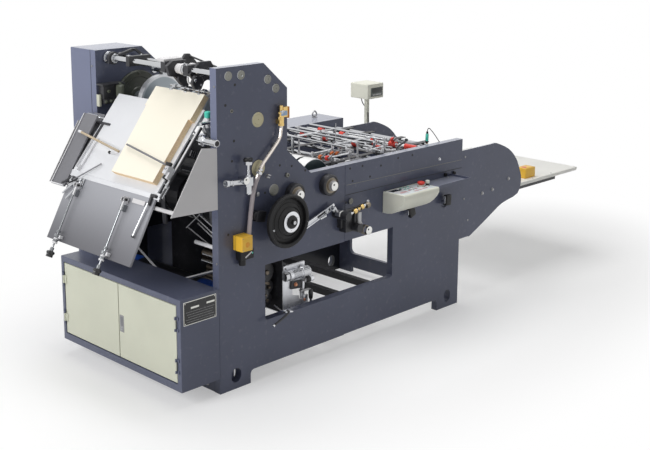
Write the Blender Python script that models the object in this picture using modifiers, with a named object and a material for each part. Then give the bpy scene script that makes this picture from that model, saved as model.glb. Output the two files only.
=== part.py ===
# Envelope making machine: sheet feeder head, folding bed and delivery table.
# Blender 4.5, metres, +Z up. X runs from the feed end to the delivery end, the operator stands on the -Y side.
# Plate coordinates: X = 0 at the feed-end edge of the side plates, Y = 0 at the near plate's outer face.
import math

import bmesh
import bpy
from mathutils import Matrix, Vector

for obj in list(bpy.data.objects):
    bpy.data.objects.remove(obj, do_unlink=True)

# Driving sizes of the frame
GAP = 0.0003
PLATE_T = 0.042
CLEAR_W = 0.863
OUT_W = CLEAR_W + 2.0 * PLATE_T
MID_Y = OUT_W / 2.0
IN_NEAR = PLATE_T
IN_FAR = PLATE_T + CLEAR_W
HEAD_H = 1.5
HEAD_FLAT = 0.278
CHAMFER_X = 0.423
CHAMFER_DROP = 0.1265
CHAMFER_Z = HEAD_H - CHAMFER_DROP
RAIL_X = 0.579
RAIL_Z = 0.947
BACK_RISE = 0.131
BACK_Z = RAIL_Z + BACK_RISE
RAIL_D = 0.161
RAIL_LOW = RAIL_Z - RAIL_D
BASE_L = 1.757
FOOT_LEN_A = 0.1855
FOOT_LEN_B = 0.1845
FOOT_B = BASE_L - FOOT_LEN_B
FOOT_H = 0.065
FOOT_R = 0.018
WIN_X0 = 0.280
WIN_X1 = 1.189
WIN_Z0 = 0.285
WIN_Z1 = 0.556
SEAM_X = 0.817
RECESS = 0.005
COVER_D = 0.173
COVER_Z0 = 0.120

# Feed-end cabinet and its doors; each margin is from the cabinet's own edge to the door's
CAB_D = 0.2215
CAB_W = 0.935
CAB_Z0 = 0.075
CAB_Z1 = 0.506
CAB_SHEET = 0.003
CAB_LIP = 0.022
DOOR_Y0 = 0.032
DOOR_MARGIN_FAR = 0.027
DOOR_MARGIN_LOW = 0.0395
DOOR_MARGIN_TOP = 0.0325
DOOR_Y1 = CAB_W - DOOR_MARGIN_FAR
DOOR_SEAM = CAB_W / 2.0 - 0.0045
DOOR_Z0 = CAB_Z0 + DOOR_MARGIN_LOW
DOOR_Z1 = CAB_Z1 - DOOR_MARGIN_TOP
DOOR_T = 0.018
DOOR_RIM = 0.015
DOOR_SKIN = 0.003
DOOR_GAP = 0.005
HINGE_R = 0.0045
HINGE_L = 0.040
HINGE_INSET = 0.0815
HINGE_OUT = 0.006
LEAF_W = 0.018

# Floor beam: the origin is the middle of its underside
BEAM_X1 = 0.12
BEAM_H = 0.10

# Tie beams under the window, and the cross plate between the delivery legs
TIE_BEAM_A = 0.830
TIE_BEAM_B = 1.065
TIE_BEAM_W = 0.035
TIE_BEAM_TOP = WIN_Z0 - 0.017
END_T = 0.022
END_FOOT_W = 0.097
END_LOW = 0.033
END_RAIL_TOP = 0.120
END_WINDOW_TOP = RAIL_LOW - 0.096
END_TOP = RAIL_LOW - 0.006
END_R = 0.030

# Dark sheet across the machine behind the main drum
PANEL_X = 0.440
PANEL_T = 0.003
PANEL_Z0 = WIN_Z0 - 0.020
PANEL_BACK = 0.012
PANEL_TAB = 0.094

# Axes of the head, in plate coordinates (X, Z), each hung from the one above it
FRONT_TIES = ((0.069, HEAD_H - 0.039), (0.143, HEAD_H - 0.041))
REAR_TIES = ((CHAMFER_X - 0.121, HEAD_H - 0.076), (CHAMFER_X - 0.071, HEAD_H - 0.122))
TIE_BUSH_R = 0.021
TIE_R = 0.0135
SUCTION_AXIS = (0.240, HEAD_H - 0.253)
SUCTION_BUSH_R = 0.035
SUCTION_R = 0.133
SUCTION_Y = 0.704
PULL_AXIS = (0.240, SUCTION_AXIS[1] - 0.224)
PULL_BUSH_R = 0.040
PULL_R = 0.088
CREASE_AXIS = (0.338, PULL_AXIS[1] - 0.118)
CREASE_BUSH_R = 0.028
CREASE_R = 0.026
BORE_CLEAR = 0.0006

# Hand wheel, on the axis of the main drum
WHEEL_X = 0.350
WHEEL_Z = CREASE_AXIS[1] - 0.135
WHEEL_R = 0.127
MAIN_R = 0.104
MAIN_CORE = 0.092
MAIN_SHAFT_R = 0.040
MAIN_BANDS = 6
MAIN_PITCH = 0.118
MAIN_BAND_W = 0.090
BOSS_Y = -0.045
BOSS_R = 0.040
HUB_SHAFT_R = 0.016

# Lay shaft: the sloping sheets of the feeder are placed from it
LAY_TUBE_R = 0.017
LAY_R = 0.007
LAY_DROP = 0.324
LAY = (-LAY_TUBE_R - GAP, HEAD_H - LAY_DROP)


def from_lay(along, up):
    """A point (X, Z) given from the lay shaft's axis."""
    return (LAY[0] + along, LAY[1] + up)


BOARD_TOP = from_lay(0.0753, 0.119)
BOARD_LOW = from_lay(-0.2037, -0.221)
TRAY_HIGH = from_lay(-0.2092, -0.238)
TRAY_LOW = from_lay(-0.3577, -0.517)
SIDE_TOP = from_lay(-0.0477, 0.024)
SIDE_LOW = from_lay(-0.2517, -0.292)
GUARD_BAR = from_lay(-0.2047, -0.284)
GUARD_BAR_R = 0.009
GUARD_T = 0.003
BOARD_Y0 = 0.150
BOARD_Y1 = IN_FAR - 0.105
SIDE_Y0 = BOARD_Y1 + 0.008
SIDE_Y1 = IN_FAR + 0.010
SHEET_T = 0.004
STACK_Y0 = 0.172
STACK_W = 0.340
STACK_T = 0.030
STACK_TOP = -0.060
STACK_LOW = 0.400
SCREW_LIFT = 0.020

# Fittings on the near plate
VALVE = (CHAMFER_X - 0.057, HEAD_H - 0.295)
PIPE_R = 0.0085
PIPE_Y = -0.020
STOP_X0 = 0.0845
STOP_W = 0.0655
STOP_Z0 = 0.670
STOP_H = 0.070
STOP_D = 0.062
REG_X0 = 0.100
REG_X1 = 0.178
REG_H = 0.0475
CLAMP_X = 0.145
CLAMP_Z = 0.985
CLAMP_Y = -0.040
HUB_R = 0.046
HUB_FEED = (0.456, RAIL_Z - 0.079)
HUB_BED = (0.684, RAIL_Z - 0.074)
LEVER_A = (0.400, RAIL_LOW - 0.131)
LEVER_B = (0.702, RAIL_LOW - 0.029)
UNIT_X0 = 0.760
UNIT_Z0 = RAIL_LOW - 0.146
UNIT_W = 0.052
UNIT_H = 0.072

# Console with its button, and the sheet shelf beside it
CON_L = 0.280
CON_X0 = 1.105
CON_TOP = RAIL_LOW - 0.024
CON_H = 0.112
CON_D = 0.142
COLLAR_RISE = 0.0095
COLLAR_TOP = CON_TOP + COLLAR_RISE
COLLAR_R = 0.018
BUTTON = (CON_X0 + 0.225, -0.062)
BUTTON_R = 0.009
SHELF_X0 = CON_X0 + CON_L + 0.010
SHELF_L = 0.272
SHELF_D = 0.135
SHELF_TOP = RAIL_LOW - 0.031
SHELF_T = 0.003

# Delivery wings, table and counter, placed from the end of the side plates
WING_T = 0.008
WING_IN = OUT_W - RECESS - WING_T
TABLE_Z = 0.580
TABLE_T = 0.016
TABLE_X0 = BASE_L + 0.483
TABLE_L = 0.795
TABLE_MARGIN = 0.052
TABLE_BOX_X = TABLE_X0 + 0.270
TABLE_BOX_L = 0.105
TABLE_BOX_W = 0.072
TABLE_BOX_H = 0.062
TABLE_RODS = ((BASE_L + 0.203, TABLE_Z + 0.023), (BASE_L + 0.455, TABLE_Z + 0.067))
TABLE_ROD_R = 0.011
BRACKET_T = 0.020
BRACKET_H = 0.026
ROLLER_AXIS = (BASE_L + 0.299, TABLE_Z + 0.120)
ROLLER_R = 0.045
COUNTER_X0 = BASE_L + 0.324
COUNTER_W = 0.147
COUNTER_Y0 = OUT_W + 0.053
COUNTER_D = 0.149
COUNTER_Z0 = RAIL_Z + 0.062
COUNTER_H = 0.095
POST_S = 0.022

# Folding bed between the rails
DRUM_X = 0.700
DRUM_Z = RAIL_Z - 0.067
DRUM_R = 0.100
DRUM_RINGS = 9
DRUM_PITCH = 0.085
BED_X0 = 0.860
BED_X1 = BASE_L - 0.097
BED_SHAFTS = 6
BED_SHAFT_Z = RAIL_Z - 0.047
BED_SHAFT_R = 0.011
BELT_Z = BED_SHAFT_Z + BED_SHAFT_R + GAP
BELT_T = 0.0032
BELT_W = 0.034
BELT_Y = (0.190, 0.360, 0.590, 0.760)
UPPER_Z = RAIL_Z + 0.053
UPPER_R = 0.007
BED_STEP = (BED_X1 - BED_X0) / (BED_SHAFTS - 1)
UPPER_X = (BED_X0 + 0.5 * BED_STEP, BED_X0 + 1.4 * BED_STEP, BED_X0 + 1.8 * BED_STEP, BED_X0 + 2.5 * BED_STEP)
PRESS_R = 0.016
PRESS_Z = BELT_Z + BELT_T + PRESS_R + GAP
PRESS_X = (("feed", UPPER_X[-1] + 0.035), ("delivery", UPPER_X[-1] + 0.175))

# Gum unit in the window: two rods between the plates carry it
GUM_RODS = ((0.500, WIN_Z0 - 0.045), (0.600, WIN_Z0 - 0.060))
GUM_ROD_R = 0.010
GUM_X0 = 0.493
GUM_X1 = 0.637
GUM_Z1 = 0.475
GUM_Y = 0.100
GUM_T = 0.010

# Drive motor behind the cabinet
MOTOR = (0.170, 0.352)
MOTOR_R = 0.085

MACHINE = bpy.data.collections.new("envelope_making_machine")
CUTTERS = bpy.data.collections.new("cutters")
bpy.context.scene.collection.children.link(MACHINE)
bpy.context.scene.collection.children.link(CUTTERS)

FRAME = bpy.data.objects.new("machine_frame", None)
MACHINE.objects.link(FRAME)
FRAME.location = (-BEAM_X1 / 2.0, -MID_Y, 0.0)


def principled(name, rgb, metallic, roughness, alpha=1.0):
    """One plain surface with the colour read off the photo."""
    mat = bpy.data.materials.new(name)
    mat.use_nodes = True
    node = mat.node_tree.nodes["Principled BSDF"]
    node.inputs["Base Color"].default_value = (*rgb, 1.0)
    node.inputs["Metallic"].default_value = metallic
    node.inputs["Roughness"].default_value = roughness
    node.inputs["Alpha"].default_value = alpha
    mat.diffuse_color = (*rgb, alpha)
    return mat


MATS = {
    "slate_paint": principled("slate_paint", (0.085, 0.095, 0.135), 0.0, 0.45),
    "cream_paint": principled("cream_paint", (0.60, 0.61, 0.50), 0.0, 0.50),
    "grey_sheet": principled("grey_sheet", (0.42, 0.43, 0.46), 0.6, 0.40),
    "dark_sheet": principled("dark_sheet", (0.12, 0.12, 0.13), 0.5, 0.40),
    "chrome_bar": principled("chrome_bar", (0.75, 0.76, 0.78), 1.0, 0.18),
    "turned_steel": principled("turned_steel", (0.48, 0.48, 0.48), 1.0, 0.35),
    "black_plastic": principled("black_plastic", (0.015, 0.015, 0.017), 0.0, 0.40),
    "black_steel": principled("black_steel", (0.025, 0.025, 0.03), 0.3, 0.45),
    "paper": principled("paper", (0.90, 0.83, 0.68), 0.0, 0.80),
    "yellow_plastic": principled("yellow_plastic", (0.85, 0.47, 0.03), 0.0, 0.40),
    "red_plastic": principled("red_plastic", (0.75, 0.05, 0.03), 0.0, 0.35),
    "console_cream": principled("console_cream", (0.62, 0.63, 0.52), 0.0, 0.50),
    "table_white": principled("table_white", (0.74, 0.73, 0.66), 0.0, 0.50),
    "brass": principled("brass", (0.65, 0.45, 0.15), 1.0, 0.30),
    "steel_pipe": principled("steel_pipe", (0.55, 0.50, 0.47), 0.9, 0.30),
    "blue_paint": principled("blue_paint", (0.02, 0.10, 0.45), 0.0, 0.40),
    "teal_plastic": principled("teal_plastic", (0.10, 0.65, 0.50), 0.0, 0.35),
    "bushing": principled("bushing", (0.33, 0.32, 0.26), 0.8, 0.40),
}


def add(name, mesh, mat, loc=(0.0, 0.0, 0.0), rot=(0.0, 0.0, 0.0), smooth=False):
    """Puts a mesh into the machine as a named piece with its own surface."""
    obj = bpy.data.objects.new(name, mesh)
    MACHINE.objects.link(obj)
    obj.parent = FRAME
    obj.location = loc
    obj.rotation_euler = rot
    mesh.materials.clear()
    mesh.materials.append(MATS[mat])
    if smooth:
        mesh.shade_smooth()
        mesh.set_sharp_from_angle(angle=math.radians(35.0))
    return obj


def bevel(obj, width, segments=2):
    """Rounds the sharp edges of a piece that was made at its full size."""
    mod = obj.modifiers.new("edges", "BEVEL")
    mod.width = width
    mod.segments = segments
    mod.limit_method = "ANGLE"
    mod.angle_limit = math.radians(40.0)
    return obj


def box_mesh(name, size):
    """A block centred on its own origin."""
    bm = bmesh.new()
    bmesh.ops.create_cube(bm, size=1.0)
    bmesh.ops.scale(bm, vec=Vector(size), verts=bm.verts)
    mesh = bpy.data.meshes.new(name)
    bm.to_mesh(mesh)
    bm.free()
    return mesh


def block(name, low, high, mat, edge=0.0, segments=2):
    """A block between two corners."""
    size = [h - l for l, h in zip(low, high)]
    mid = [(l + h) / 2.0 for l, h in zip(low, high)]
    obj = add(name, box_mesh(name, size), mat, mid)
    if edge > 0.0:
        bevel(obj, edge, segments)
    return obj


def rod_mesh(name, radius, length, segments=32):
    """A round bar along local Z, centred on its own origin."""
    bm = bmesh.new()
    bmesh.ops.create_cone(bm, cap_ends=True, segments=segments, radius1=radius, radius2=radius, depth=length)
    mesh = bpy.data.meshes.new(name)
    bm.to_mesh(mesh)
    bm.free()
    return mesh


ALONG_Y = (-math.pi / 2.0, 0.0, 0.0)
ALONG_X = (0.0, math.pi / 2.0, 0.0)
ALONG_Z = (0.0, 0.0, 0.0)


def rod_y(name, radius, x, z, y0, y1, mat, segments=32):
    """A round bar across the machine."""
    return add(name, rod_mesh(name, radius, y1 - y0, segments), mat, (x, (y0 + y1) / 2.0, z), ALONG_Y, True)


def rod_between(name, radius, start, end, mat, segments=20):
    """A round bar from one point to another."""
    a = Vector(start)
    b = Vector(end)
    turn = (b - a).to_track_quat("Z", "Y").to_euler()
    return add(name, rod_mesh(name, radius, (b - a).length, segments), mat, (a + b) / 2.0, turn, True)


def turned(name, profile, mat, loc, rot=ALONG_Y, steps=48):
    """A closed profile of (radius, height) points, spun about local Z by a Screw modifier."""
    mesh = bpy.data.meshes.new(name)
    bm = bmesh.new()
    verts = [bm.verts.new((r, 0.0, h)) for r, h in profile]
    closed = profile[0][0] > 0.0 and profile[-1][0] > 0.0
    for a, b in zip(verts, verts[1:]):
        bm.edges.new((a, b))
    if closed:
        bm.edges.new((verts[-1], verts[0]))
    bm.to_mesh(mesh)
    bm.free()
    obj = add(name, mesh, mat, loc, rot)
    mod = obj.modifiers.new("spin", "SCREW")
    mod.axis = "Z"
    mod.angle = math.tau
    mod.steps = steps
    mod.render_steps = steps
    mod.use_merge_vertices = True
    mod.merge_threshold = 0.0001
    mod.use_normal_calculate = False
    return obj


def circle_points(x, y, radius, count=24):
    """Points round a circle, used as an inner spline of a flat outline."""
    return [(x + radius * math.cos(math.tau * k / count), y + radius * math.sin(math.tau * k / count))
            for k in range(count)]


def outline_mesh(name, loops, thickness):
    """A flat outline with holes: a filled 2D curve, extruded to both sides and welded into one closed mesh."""
    curve = bpy.data.curves.new(name, "CURVE")
    curve.dimensions = "2D"
    curve.fill_mode = "BOTH"
    curve.extrude = thickness / 2.0
    for loop in loops:
        spline = curve.splines.new("POLY")
        spline.points.add(len(loop) - 1)
        for point, (x, y) in zip(spline.points, loop):
            point.co = (x, y, 0.0, 1.0)
        spline.use_cyclic_u = True
    temp = bpy.data.objects.new(name + "_curve", curve)
    bpy.context.scene.collection.objects.link(temp)
    graph = bpy.context.evaluated_depsgraph_get()
    mesh = bpy.data.meshes.new_from_object(temp.evaluated_get(graph))
    mesh.name = name
    bpy.data.objects.remove(temp, do_unlink=True)
    bpy.data.curves.remove(curve)
    bm = bmesh.new()
    bm.from_mesh(mesh)
    bmesh.ops.remove_doubles(bm, verts=bm.verts, dist=0.00005)
    bmesh.ops.recalc_face_normals(bm, faces=bm.faces)
    bm.to_mesh(mesh)
    bm.free()
    return mesh


UPRIGHT = (math.pi / 2.0, 0.0, 0.0)


def plate_xz(name, loops, y0, y1, mat):
    """A flat plate standing in the XZ plane between two Y values."""
    return add(name, outline_mesh(name, loops, y1 - y0), mat, (0.0, (y0 + y1) / 2.0, 0.0), UPRIGHT)


def sweep_mesh(name, points, radius):
    """A round tube along a line of points, with filled ends, welded into one closed mesh."""
    curve = bpy.data.curves.new(name, "CURVE")
    curve.dimensions = "3D"
    curve.bevel_depth = radius
    curve.bevel_resolution = 2
    curve.use_fill_caps = True
    spline = curve.splines.new("POLY")
    spline.points.add(len(points) - 1)
    for point, co in zip(spline.points, points):
        point.co = (*co, 1.0)
    temp = bpy.data.objects.new(name + "_curve", curve)
    bpy.context.scene.collection.objects.link(temp)
    graph = bpy.context.evaluated_depsgraph_get()
    mesh = bpy.data.meshes.new_from_object(temp.evaluated_get(graph))
    mesh.name = name
    bpy.data.objects.remove(temp, do_unlink=True)
    bpy.data.curves.remove(curve)
    bm = bmesh.new()
    bm.from_mesh(mesh)
    bmesh.ops.remove_doubles(bm, verts=bm.verts, dist=0.00005)
    bmesh.ops.recalc_face_normals(bm, faces=bm.faces)
    bm.to_mesh(mesh)
    bm.free()
    return mesh


def smooth_path(points, steps=6):
    """Catmull-Rom points through the given corners, so that a bent pipe has round bends."""
    pts = [Vector(p) for p in points]
    pts = [2.0 * pts[0] - pts[1]] + pts + [2.0 * pts[-1] - pts[-2]]
    out = []
    for a, b, c, d in zip(pts, pts[1:], pts[2:], pts[3:]):
        for k in range(steps):
            t = k / steps
            out.append(0.5 * (2.0 * b + (c - a) * t + (2.0 * a - 5.0 * b + 4.0 * c - d) * t * t
                              + (3.0 * b - a - 3.0 * c + d) * t * t * t))
    out.append(pts[-2])
    return [tuple(p) for p in out]


def boolean(target, tool, operation):
    """Moves the tool to the cutters and lets the target use it with the exact solver."""
    MACHINE.objects.unlink(tool)
    CUTTERS.objects.link(tool)
    tool.hide_render = True
    tool.display_type = "WIRE"
    mod = target.modifiers.new(operation.lower(), "BOOLEAN")
    mod.operation = operation
    mod.solver = "EXACT"
    mod.object = tool
    return target


def fuse(target, *tools):
    """Joins several overlapping shapes into one solid."""
    for tool in tools:
        boolean(target, tool, "UNION")
    return target


def carve(target, *tools):
    """Cuts shapes out of a solid."""
    for tool in tools:
        boolean(target, tool, "DIFFERENCE")
    return target


# Side plates: one thick plate on each side carries the head, the bed rail and both feet
HEAD_LINE = [(0.0, 0.0), (0.0, HEAD_H), (HEAD_FLAT, HEAD_H), (CHAMFER_X, CHAMFER_Z), (CHAMFER_X, BACK_Z),
             (RAIL_X, RAIL_Z), (BASE_L, RAIL_Z), (BASE_L, 0.0), (FOOT_B, 0.0), (FOOT_B, FOOT_H - FOOT_R),
             (FOOT_B - 0.3 * FOOT_R, FOOT_H - 0.3 * FOOT_R), (FOOT_B - FOOT_R, FOOT_H),
             (FOOT_LEN_A + FOOT_R, FOOT_H), (FOOT_LEN_A + 0.3 * FOOT_R, FOOT_H - 0.3 * FOOT_R),
             (FOOT_LEN_A, FOOT_H - FOOT_R), (FOOT_LEN_A, 0.0)]
WINDOW = [(WIN_X0, WIN_Z0 + 0.01), (WIN_X0, WIN_Z1), (WIN_X1, WIN_Z1), (WIN_X1, WIN_Z0 + 0.01),
          (WIN_X1 - 0.01, WIN_Z0), (WIN_X0 + 0.01, WIN_Z0)]


def slot_points(x, z, width, height, steps=8):
    """A hole with round ends, standing upright."""
    r = width / 2.0
    up = z + height / 2.0 - r
    low = z - height / 2.0 + r
    top = [(x + r * math.cos(math.pi * k / steps), up + r * math.sin(math.pi * k / steps)) for k in range(steps + 1)]
    end = [(x - r * math.cos(math.pi * k / steps), low - r * math.sin(math.pi * k / steps)) for k in range(steps + 1)]
    return top + end


FOOT_SLOT_A = slot_points(0.097, 0.065, 0.060, 0.070)
FOOT_SLOT_B = slot_points(BASE_L - 0.095, 0.065, 0.056, 0.070)
HAND_SLOT = slot_points(BASE_L - 0.140, RAIL_LOW - 0.171, 0.060, 0.066)
BUSH_HOLES = [circle_points(x, z, TIE_BUSH_R + BORE_CLEAR, 20) for x, z in FRONT_TIES + REAR_TIES]
BUSH_HOLES.append(circle_points(*SUCTION_AXIS, SUCTION_BUSH_R + BORE_CLEAR, 28))
BUSH_HOLES.append(circle_points(*PULL_AXIS, PULL_BUSH_R + BORE_CLEAR, 28))
BUSH_HOLES.append(circle_points(*CREASE_AXIS, CREASE_BUSH_R + BORE_CLEAR, 24))

near = plate_xz("side_plate_near", [HEAD_LINE, WINDOW, FOOT_SLOT_A, FOOT_SLOT_B, HAND_SLOT, *BUSH_HOLES],
                0.0, PLATE_T, "slate_paint")
carve(near, block("recess_near", (SEAM_X, -0.02, -0.02), (BASE_L + 0.05, RECESS, RAIL_LOW), "slate_paint"))
far = plate_xz("side_plate_far", [HEAD_LINE, WINDOW, FOOT_SLOT_A, FOOT_SLOT_B, *BUSH_HOLES],
               IN_FAR, OUT_W, "slate_paint")

# Delivery wings: thin plates with a round nose that carry on from the delivery leg. The corners are given from
# the end of the plates and the top of the rail, and a smooth line goes through them
WING_CORNERS = [(0.283, -0.069), (0.330, -0.0715), (0.4505, -0.1225), (0.527, -0.190), (0.566, -0.260),
                (0.586, -0.324), (0.5545, -0.406), (0.4005, -0.4385), (0.277, -0.4935), (0.109, -0.570),
                (0.088, -0.5736)]
wing_path = smooth_path([(BASE_L + x, RAIL_Z + z, 0.0) for x, z in WING_CORNERS], 3)
WING_LINE = [(BASE_L + GAP, RAIL_Z - 0.069), *[(x, z) for x, z, _ in wing_path], (BASE_L + GAP, RAIL_Z - 0.5736)]
plate_xz("wing_near", [WING_LINE], RECESS, RECESS + WING_T, "slate_paint")
plate_xz("wing_far", [WING_LINE], WING_IN, OUT_W - RECESS, "slate_paint")

# Deep cover over the gear train on the far side
COVER_BED_Z0 = WIN_Z1 + 0.004
cover = plate_xz("gear_cover", [[(0.0, COVER_Z0), (0.0, HEAD_H), (HEAD_FLAT, HEAD_H), (CHAMFER_X, CHAMFER_Z),
                                 (CHAMFER_X, BACK_Z), (RAIL_X, RAIL_Z), (BASE_L, RAIL_Z),
                                 (BASE_L, COVER_BED_Z0), (RAIL_X, COVER_BED_Z0), (RAIL_X, COVER_Z0)]],
                 OUT_W + GAP, OUT_W + COVER_D, "slate_paint")
bevel(cover, 0.004)

# Cross members between the plates
block("floor_beam_feed", (0.0, IN_NEAR + GAP, 0.0), (BEAM_X1, IN_FAR - GAP, BEAM_H), "slate_paint", 0.003)
for label, x in (("feed", TIE_BEAM_A), ("delivery", TIE_BEAM_B)):
    block("tie_beam_" + label, (x, IN_NEAR + GAP, TIE_BEAM_TOP - TIE_BEAM_W),
          (x + TIE_BEAM_W, IN_FAR - GAP, TIE_BEAM_TOP), "black_steel", 0.002)


def round_window(y0, y1, z0, z1, radius, steps=5):
    """A rectangle with round corners, as (Y, Z) points."""
    out = []
    for y, z, start in ((y1 - radius, z1 - radius, 0.0), (y0 + radius, z1 - radius, 0.5),
                        (y0 + radius, z0 + radius, 1.0), (y1 - radius, z0 + radius, 1.5)):
        out += [(y + radius * math.cos(math.pi * (start + 0.5 * k / steps)),
                 z + radius * math.sin(math.pi * (start + 0.5 * k / steps))) for k in range(steps + 1)]
    return out


def plate_yz(name, loops, x0, x1, mat):
    """A flat plate standing across the machine between two X values."""
    return add(name, outline_mesh(name, loops, x1 - x0), mat, ((x0 + x1) / 2.0, 0.0, 0.0),
               (math.pi / 2.0, 0.0, math.pi / 2.0))


PANEL_TOP = WHEEL_Z - MAIN_R - 0.010
PANEL_LINE = [(IN_NEAR + PANEL_BACK, PANEL_Z0), (IN_FAR - GAP, PANEL_Z0), (IN_FAR - GAP, PANEL_TOP),
              (IN_NEAR + GAP, PANEL_TOP), (IN_NEAR + GAP, PANEL_TOP - PANEL_TAB),
              (IN_NEAR + PANEL_BACK, PANEL_TOP - PANEL_TAB)]
plate_yz("inner_panel", [PANEL_LINE], PANEL_X, PANEL_X + PANEL_T, "black_steel")
END_LINE = [(IN_NEAR + GAP, 0.0), (IN_NEAR + END_FOOT_W, 0.0), (IN_NEAR + END_FOOT_W, END_LOW),
            (IN_FAR - END_FOOT_W, END_LOW), (IN_FAR - END_FOOT_W, 0.0), (IN_FAR - GAP, 0.0),
            (IN_FAR - GAP, END_TOP), (IN_NEAR + GAP, END_TOP)]
plate_yz("delivery_end_plate", [END_LINE, round_window(IN_NEAR + 0.085, IN_FAR - 0.085, END_RAIL_TOP,
                                                       END_WINDOW_TOP, END_R)],
         BASE_L - END_T, BASE_L, "slate_paint")

# Cabinet: a sheet shell, open to the front, with two doors in a frame
cabinet = block("cabinet", (-CAB_D, 0.0, CAB_Z0), (-GAP, CAB_W, CAB_Z1), "slate_paint", 0.002)
carve(cabinet, block("cabinet_room", (-CAB_D + CAB_LIP, CAB_SHEET, CAB_Z0 + CAB_SHEET),
                     (-GAP - CAB_SHEET, CAB_W - CAB_SHEET, CAB_Z1 - CAB_SHEET), "slate_paint"),
      block("cabinet_mouth", (-CAB_D - 0.02, DOOR_Y0 - DOOR_GAP, DOOR_Z0 - DOOR_GAP),
            (-CAB_D + 2.0 * CAB_LIP, DOOR_Y1 + DOOR_GAP, DOOR_Z1 + DOOR_GAP), "slate_paint"))

HINGE_X = -CAB_D - HINGE_OUT
LEAF_X = -CAB_D - 0.0035
DOOR_MID_X = HINGE_OUT + 0.001 + DOOR_T / 2.0
for label, edge, seam, side in (("near", DOOR_Y0, DOOR_SEAM - DOOR_GAP / 2.0, 1.0),
                                ("far", DOOR_Y1, DOOR_SEAM + DOOR_GAP / 2.0, -1.0)):
    axis_y = edge - side * 0.002
    y0, y1 = sorted((edge - axis_y, seam - axis_y))
    height = DOOR_Z1 - DOOR_Z0
    door = add("door_" + label, box_mesh("door_" + label, (DOOR_T, y1 - y0, height)), "cream_paint",
               (HINGE_X, axis_y, (DOOR_Z0 + DOOR_Z1) / 2.0))
    door.data.transform(Matrix.Translation((DOOR_MID_X, (y0 + y1) / 2.0, 0.0)))
    bevel(door, 0.0015)
    room = (DOOR_T, y1 - y0 - 2.0 * DOOR_RIM, height - 2.0 * DOOR_RIM)
    hollow = add("door_hollow_" + label, box_mesh("door_hollow_" + label, room), "cream_paint", door.location)
    hollow.data.transform(Matrix.Translation((DOOR_MID_X + DOOR_SKIN, (y0 + y1) / 2.0, 0.0)))
    carve(door, hollow)
    knuckles = []
    for z in (DOOR_Z0 + HINGE_INSET, DOOR_Z1 - HINGE_INSET):
        knuckles.append(add("knuckle_" + label, rod_mesh("knuckle", HINGE_R, HINGE_L, 16), "cream_paint",
                            (HINGE_X, axis_y, z)))
        knuckles.append(block("leaf_" + label,
                              (LEAF_X, min(axis_y, axis_y + side * LEAF_W), z - HINGE_L / 2.0),
                              (-CAB_D + 0.004, max(axis_y, axis_y + side * LEAF_W), z + HINGE_L / 2.0),
                              "cream_paint"))
        for low in (z - HINGE_L / 2.0 - 0.014, z + HINGE_L / 2.0 + GAP):
            high = low + 0.014 - GAP
            fixed = add("fixed_knuckle", rod_mesh("fixed_knuckle", HINGE_R, high - low, 16), "slate_paint",
                        (HINGE_X, axis_y, (low + high) / 2.0))
            leaf_y = sorted((axis_y, axis_y - side * LEAF_W))
            fuse(cabinet, fixed, block("fixed_leaf", (LEAF_X, leaf_y[0], low), (-CAB_D + 0.001, leaf_y[1], high),
                                       "slate_paint"))
    fuse(door, *knuckles)


# Head tie bars: each has a bush end that fills its hole in the plates
def tie_bar(name, axis):
    """Chrome bar with a wider bush at each end, which fills its hole in the side plate."""
    half = MID_Y + 0.0015
    shoulder = CLEAR_W / 2.0 - 0.006
    profile = [(0.0, MID_Y), (TIE_BUSH_R, MID_Y), (TIE_BUSH_R, shoulder),
               (TIE_R, shoulder), (TIE_R, -shoulder), (TIE_BUSH_R, -shoulder), (TIE_BUSH_R, -half + 0.002),
               (TIE_BUSH_R - 0.002, -half), (0.0, -half)]
    return turned(name, profile, "chrome_bar", (axis[0], MID_Y, axis[1]), steps=16)


def tie_pair(name, axes):
    """Two bars of the head, fused by the clamps that grip both."""
    bars = tie_bar(name, axes[0])
    fuse(bars, tie_bar(name + "_second", axes[1]))
    return bars


front_bars = tie_pair("front_tie_bars", FRONT_TIES)
FRONT_Z = (FRONT_TIES[0][1] + FRONT_TIES[1][1]) / 2.0
for k, y in enumerate((0.265, 0.430)):
    fuse(front_bars, block("clamp_%d" % k, (FRONT_TIES[0][0] - 0.024, y - 0.016, FRONT_Z - 0.023),
                           (FRONT_TIES[1][0] + 0.027, y + 0.016, FRONT_Z + 0.025), "black_steel"))
fuse(front_bars, block("clamp_far", (FRONT_TIES[0][0] - 0.018, 0.690, FRONT_Z - 0.018),
                       (FRONT_TIES[1][0] + 0.018, 0.716, FRONT_Z + 0.018), "black_steel"))
rear_bars = tie_pair("rear_tie_bars", REAR_TIES)
for k, y in enumerate((0.200, 0.760)):
    fuse(rear_bars, block("rear_clamp_%d" % k, (REAR_TIES[0][0] - 0.017, y - 0.014, REAR_TIES[1][1] - 0.018),
                          (REAR_TIES[1][0] + 0.018, y + 0.014, REAR_TIES[0][1] + 0.018), "black_steel"))


def shaft_profile(bush_r, core, rings, half=MID_Y + 0.001, shoulder=CLEAR_W / 2.0 - 0.004):
    """Shaft with bush ends in the plates and raised rings (place, radius, width) along it."""
    out = [(0.0, MID_Y), (bush_r, MID_Y), (bush_r, shoulder), (core, shoulder)]
    for place, radius, width in sorted(rings, reverse=True):
        out += [(core, place + width / 2.0), (radius, place + width / 2.0),
                (radius, place - width / 2.0), (core, place - width / 2.0)]
    out += [(core, -shoulder), (bush_r, -shoulder), (bush_r, -half + 0.002), (bush_r - 0.002, -half), (0.0, -half)]
    return out


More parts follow.
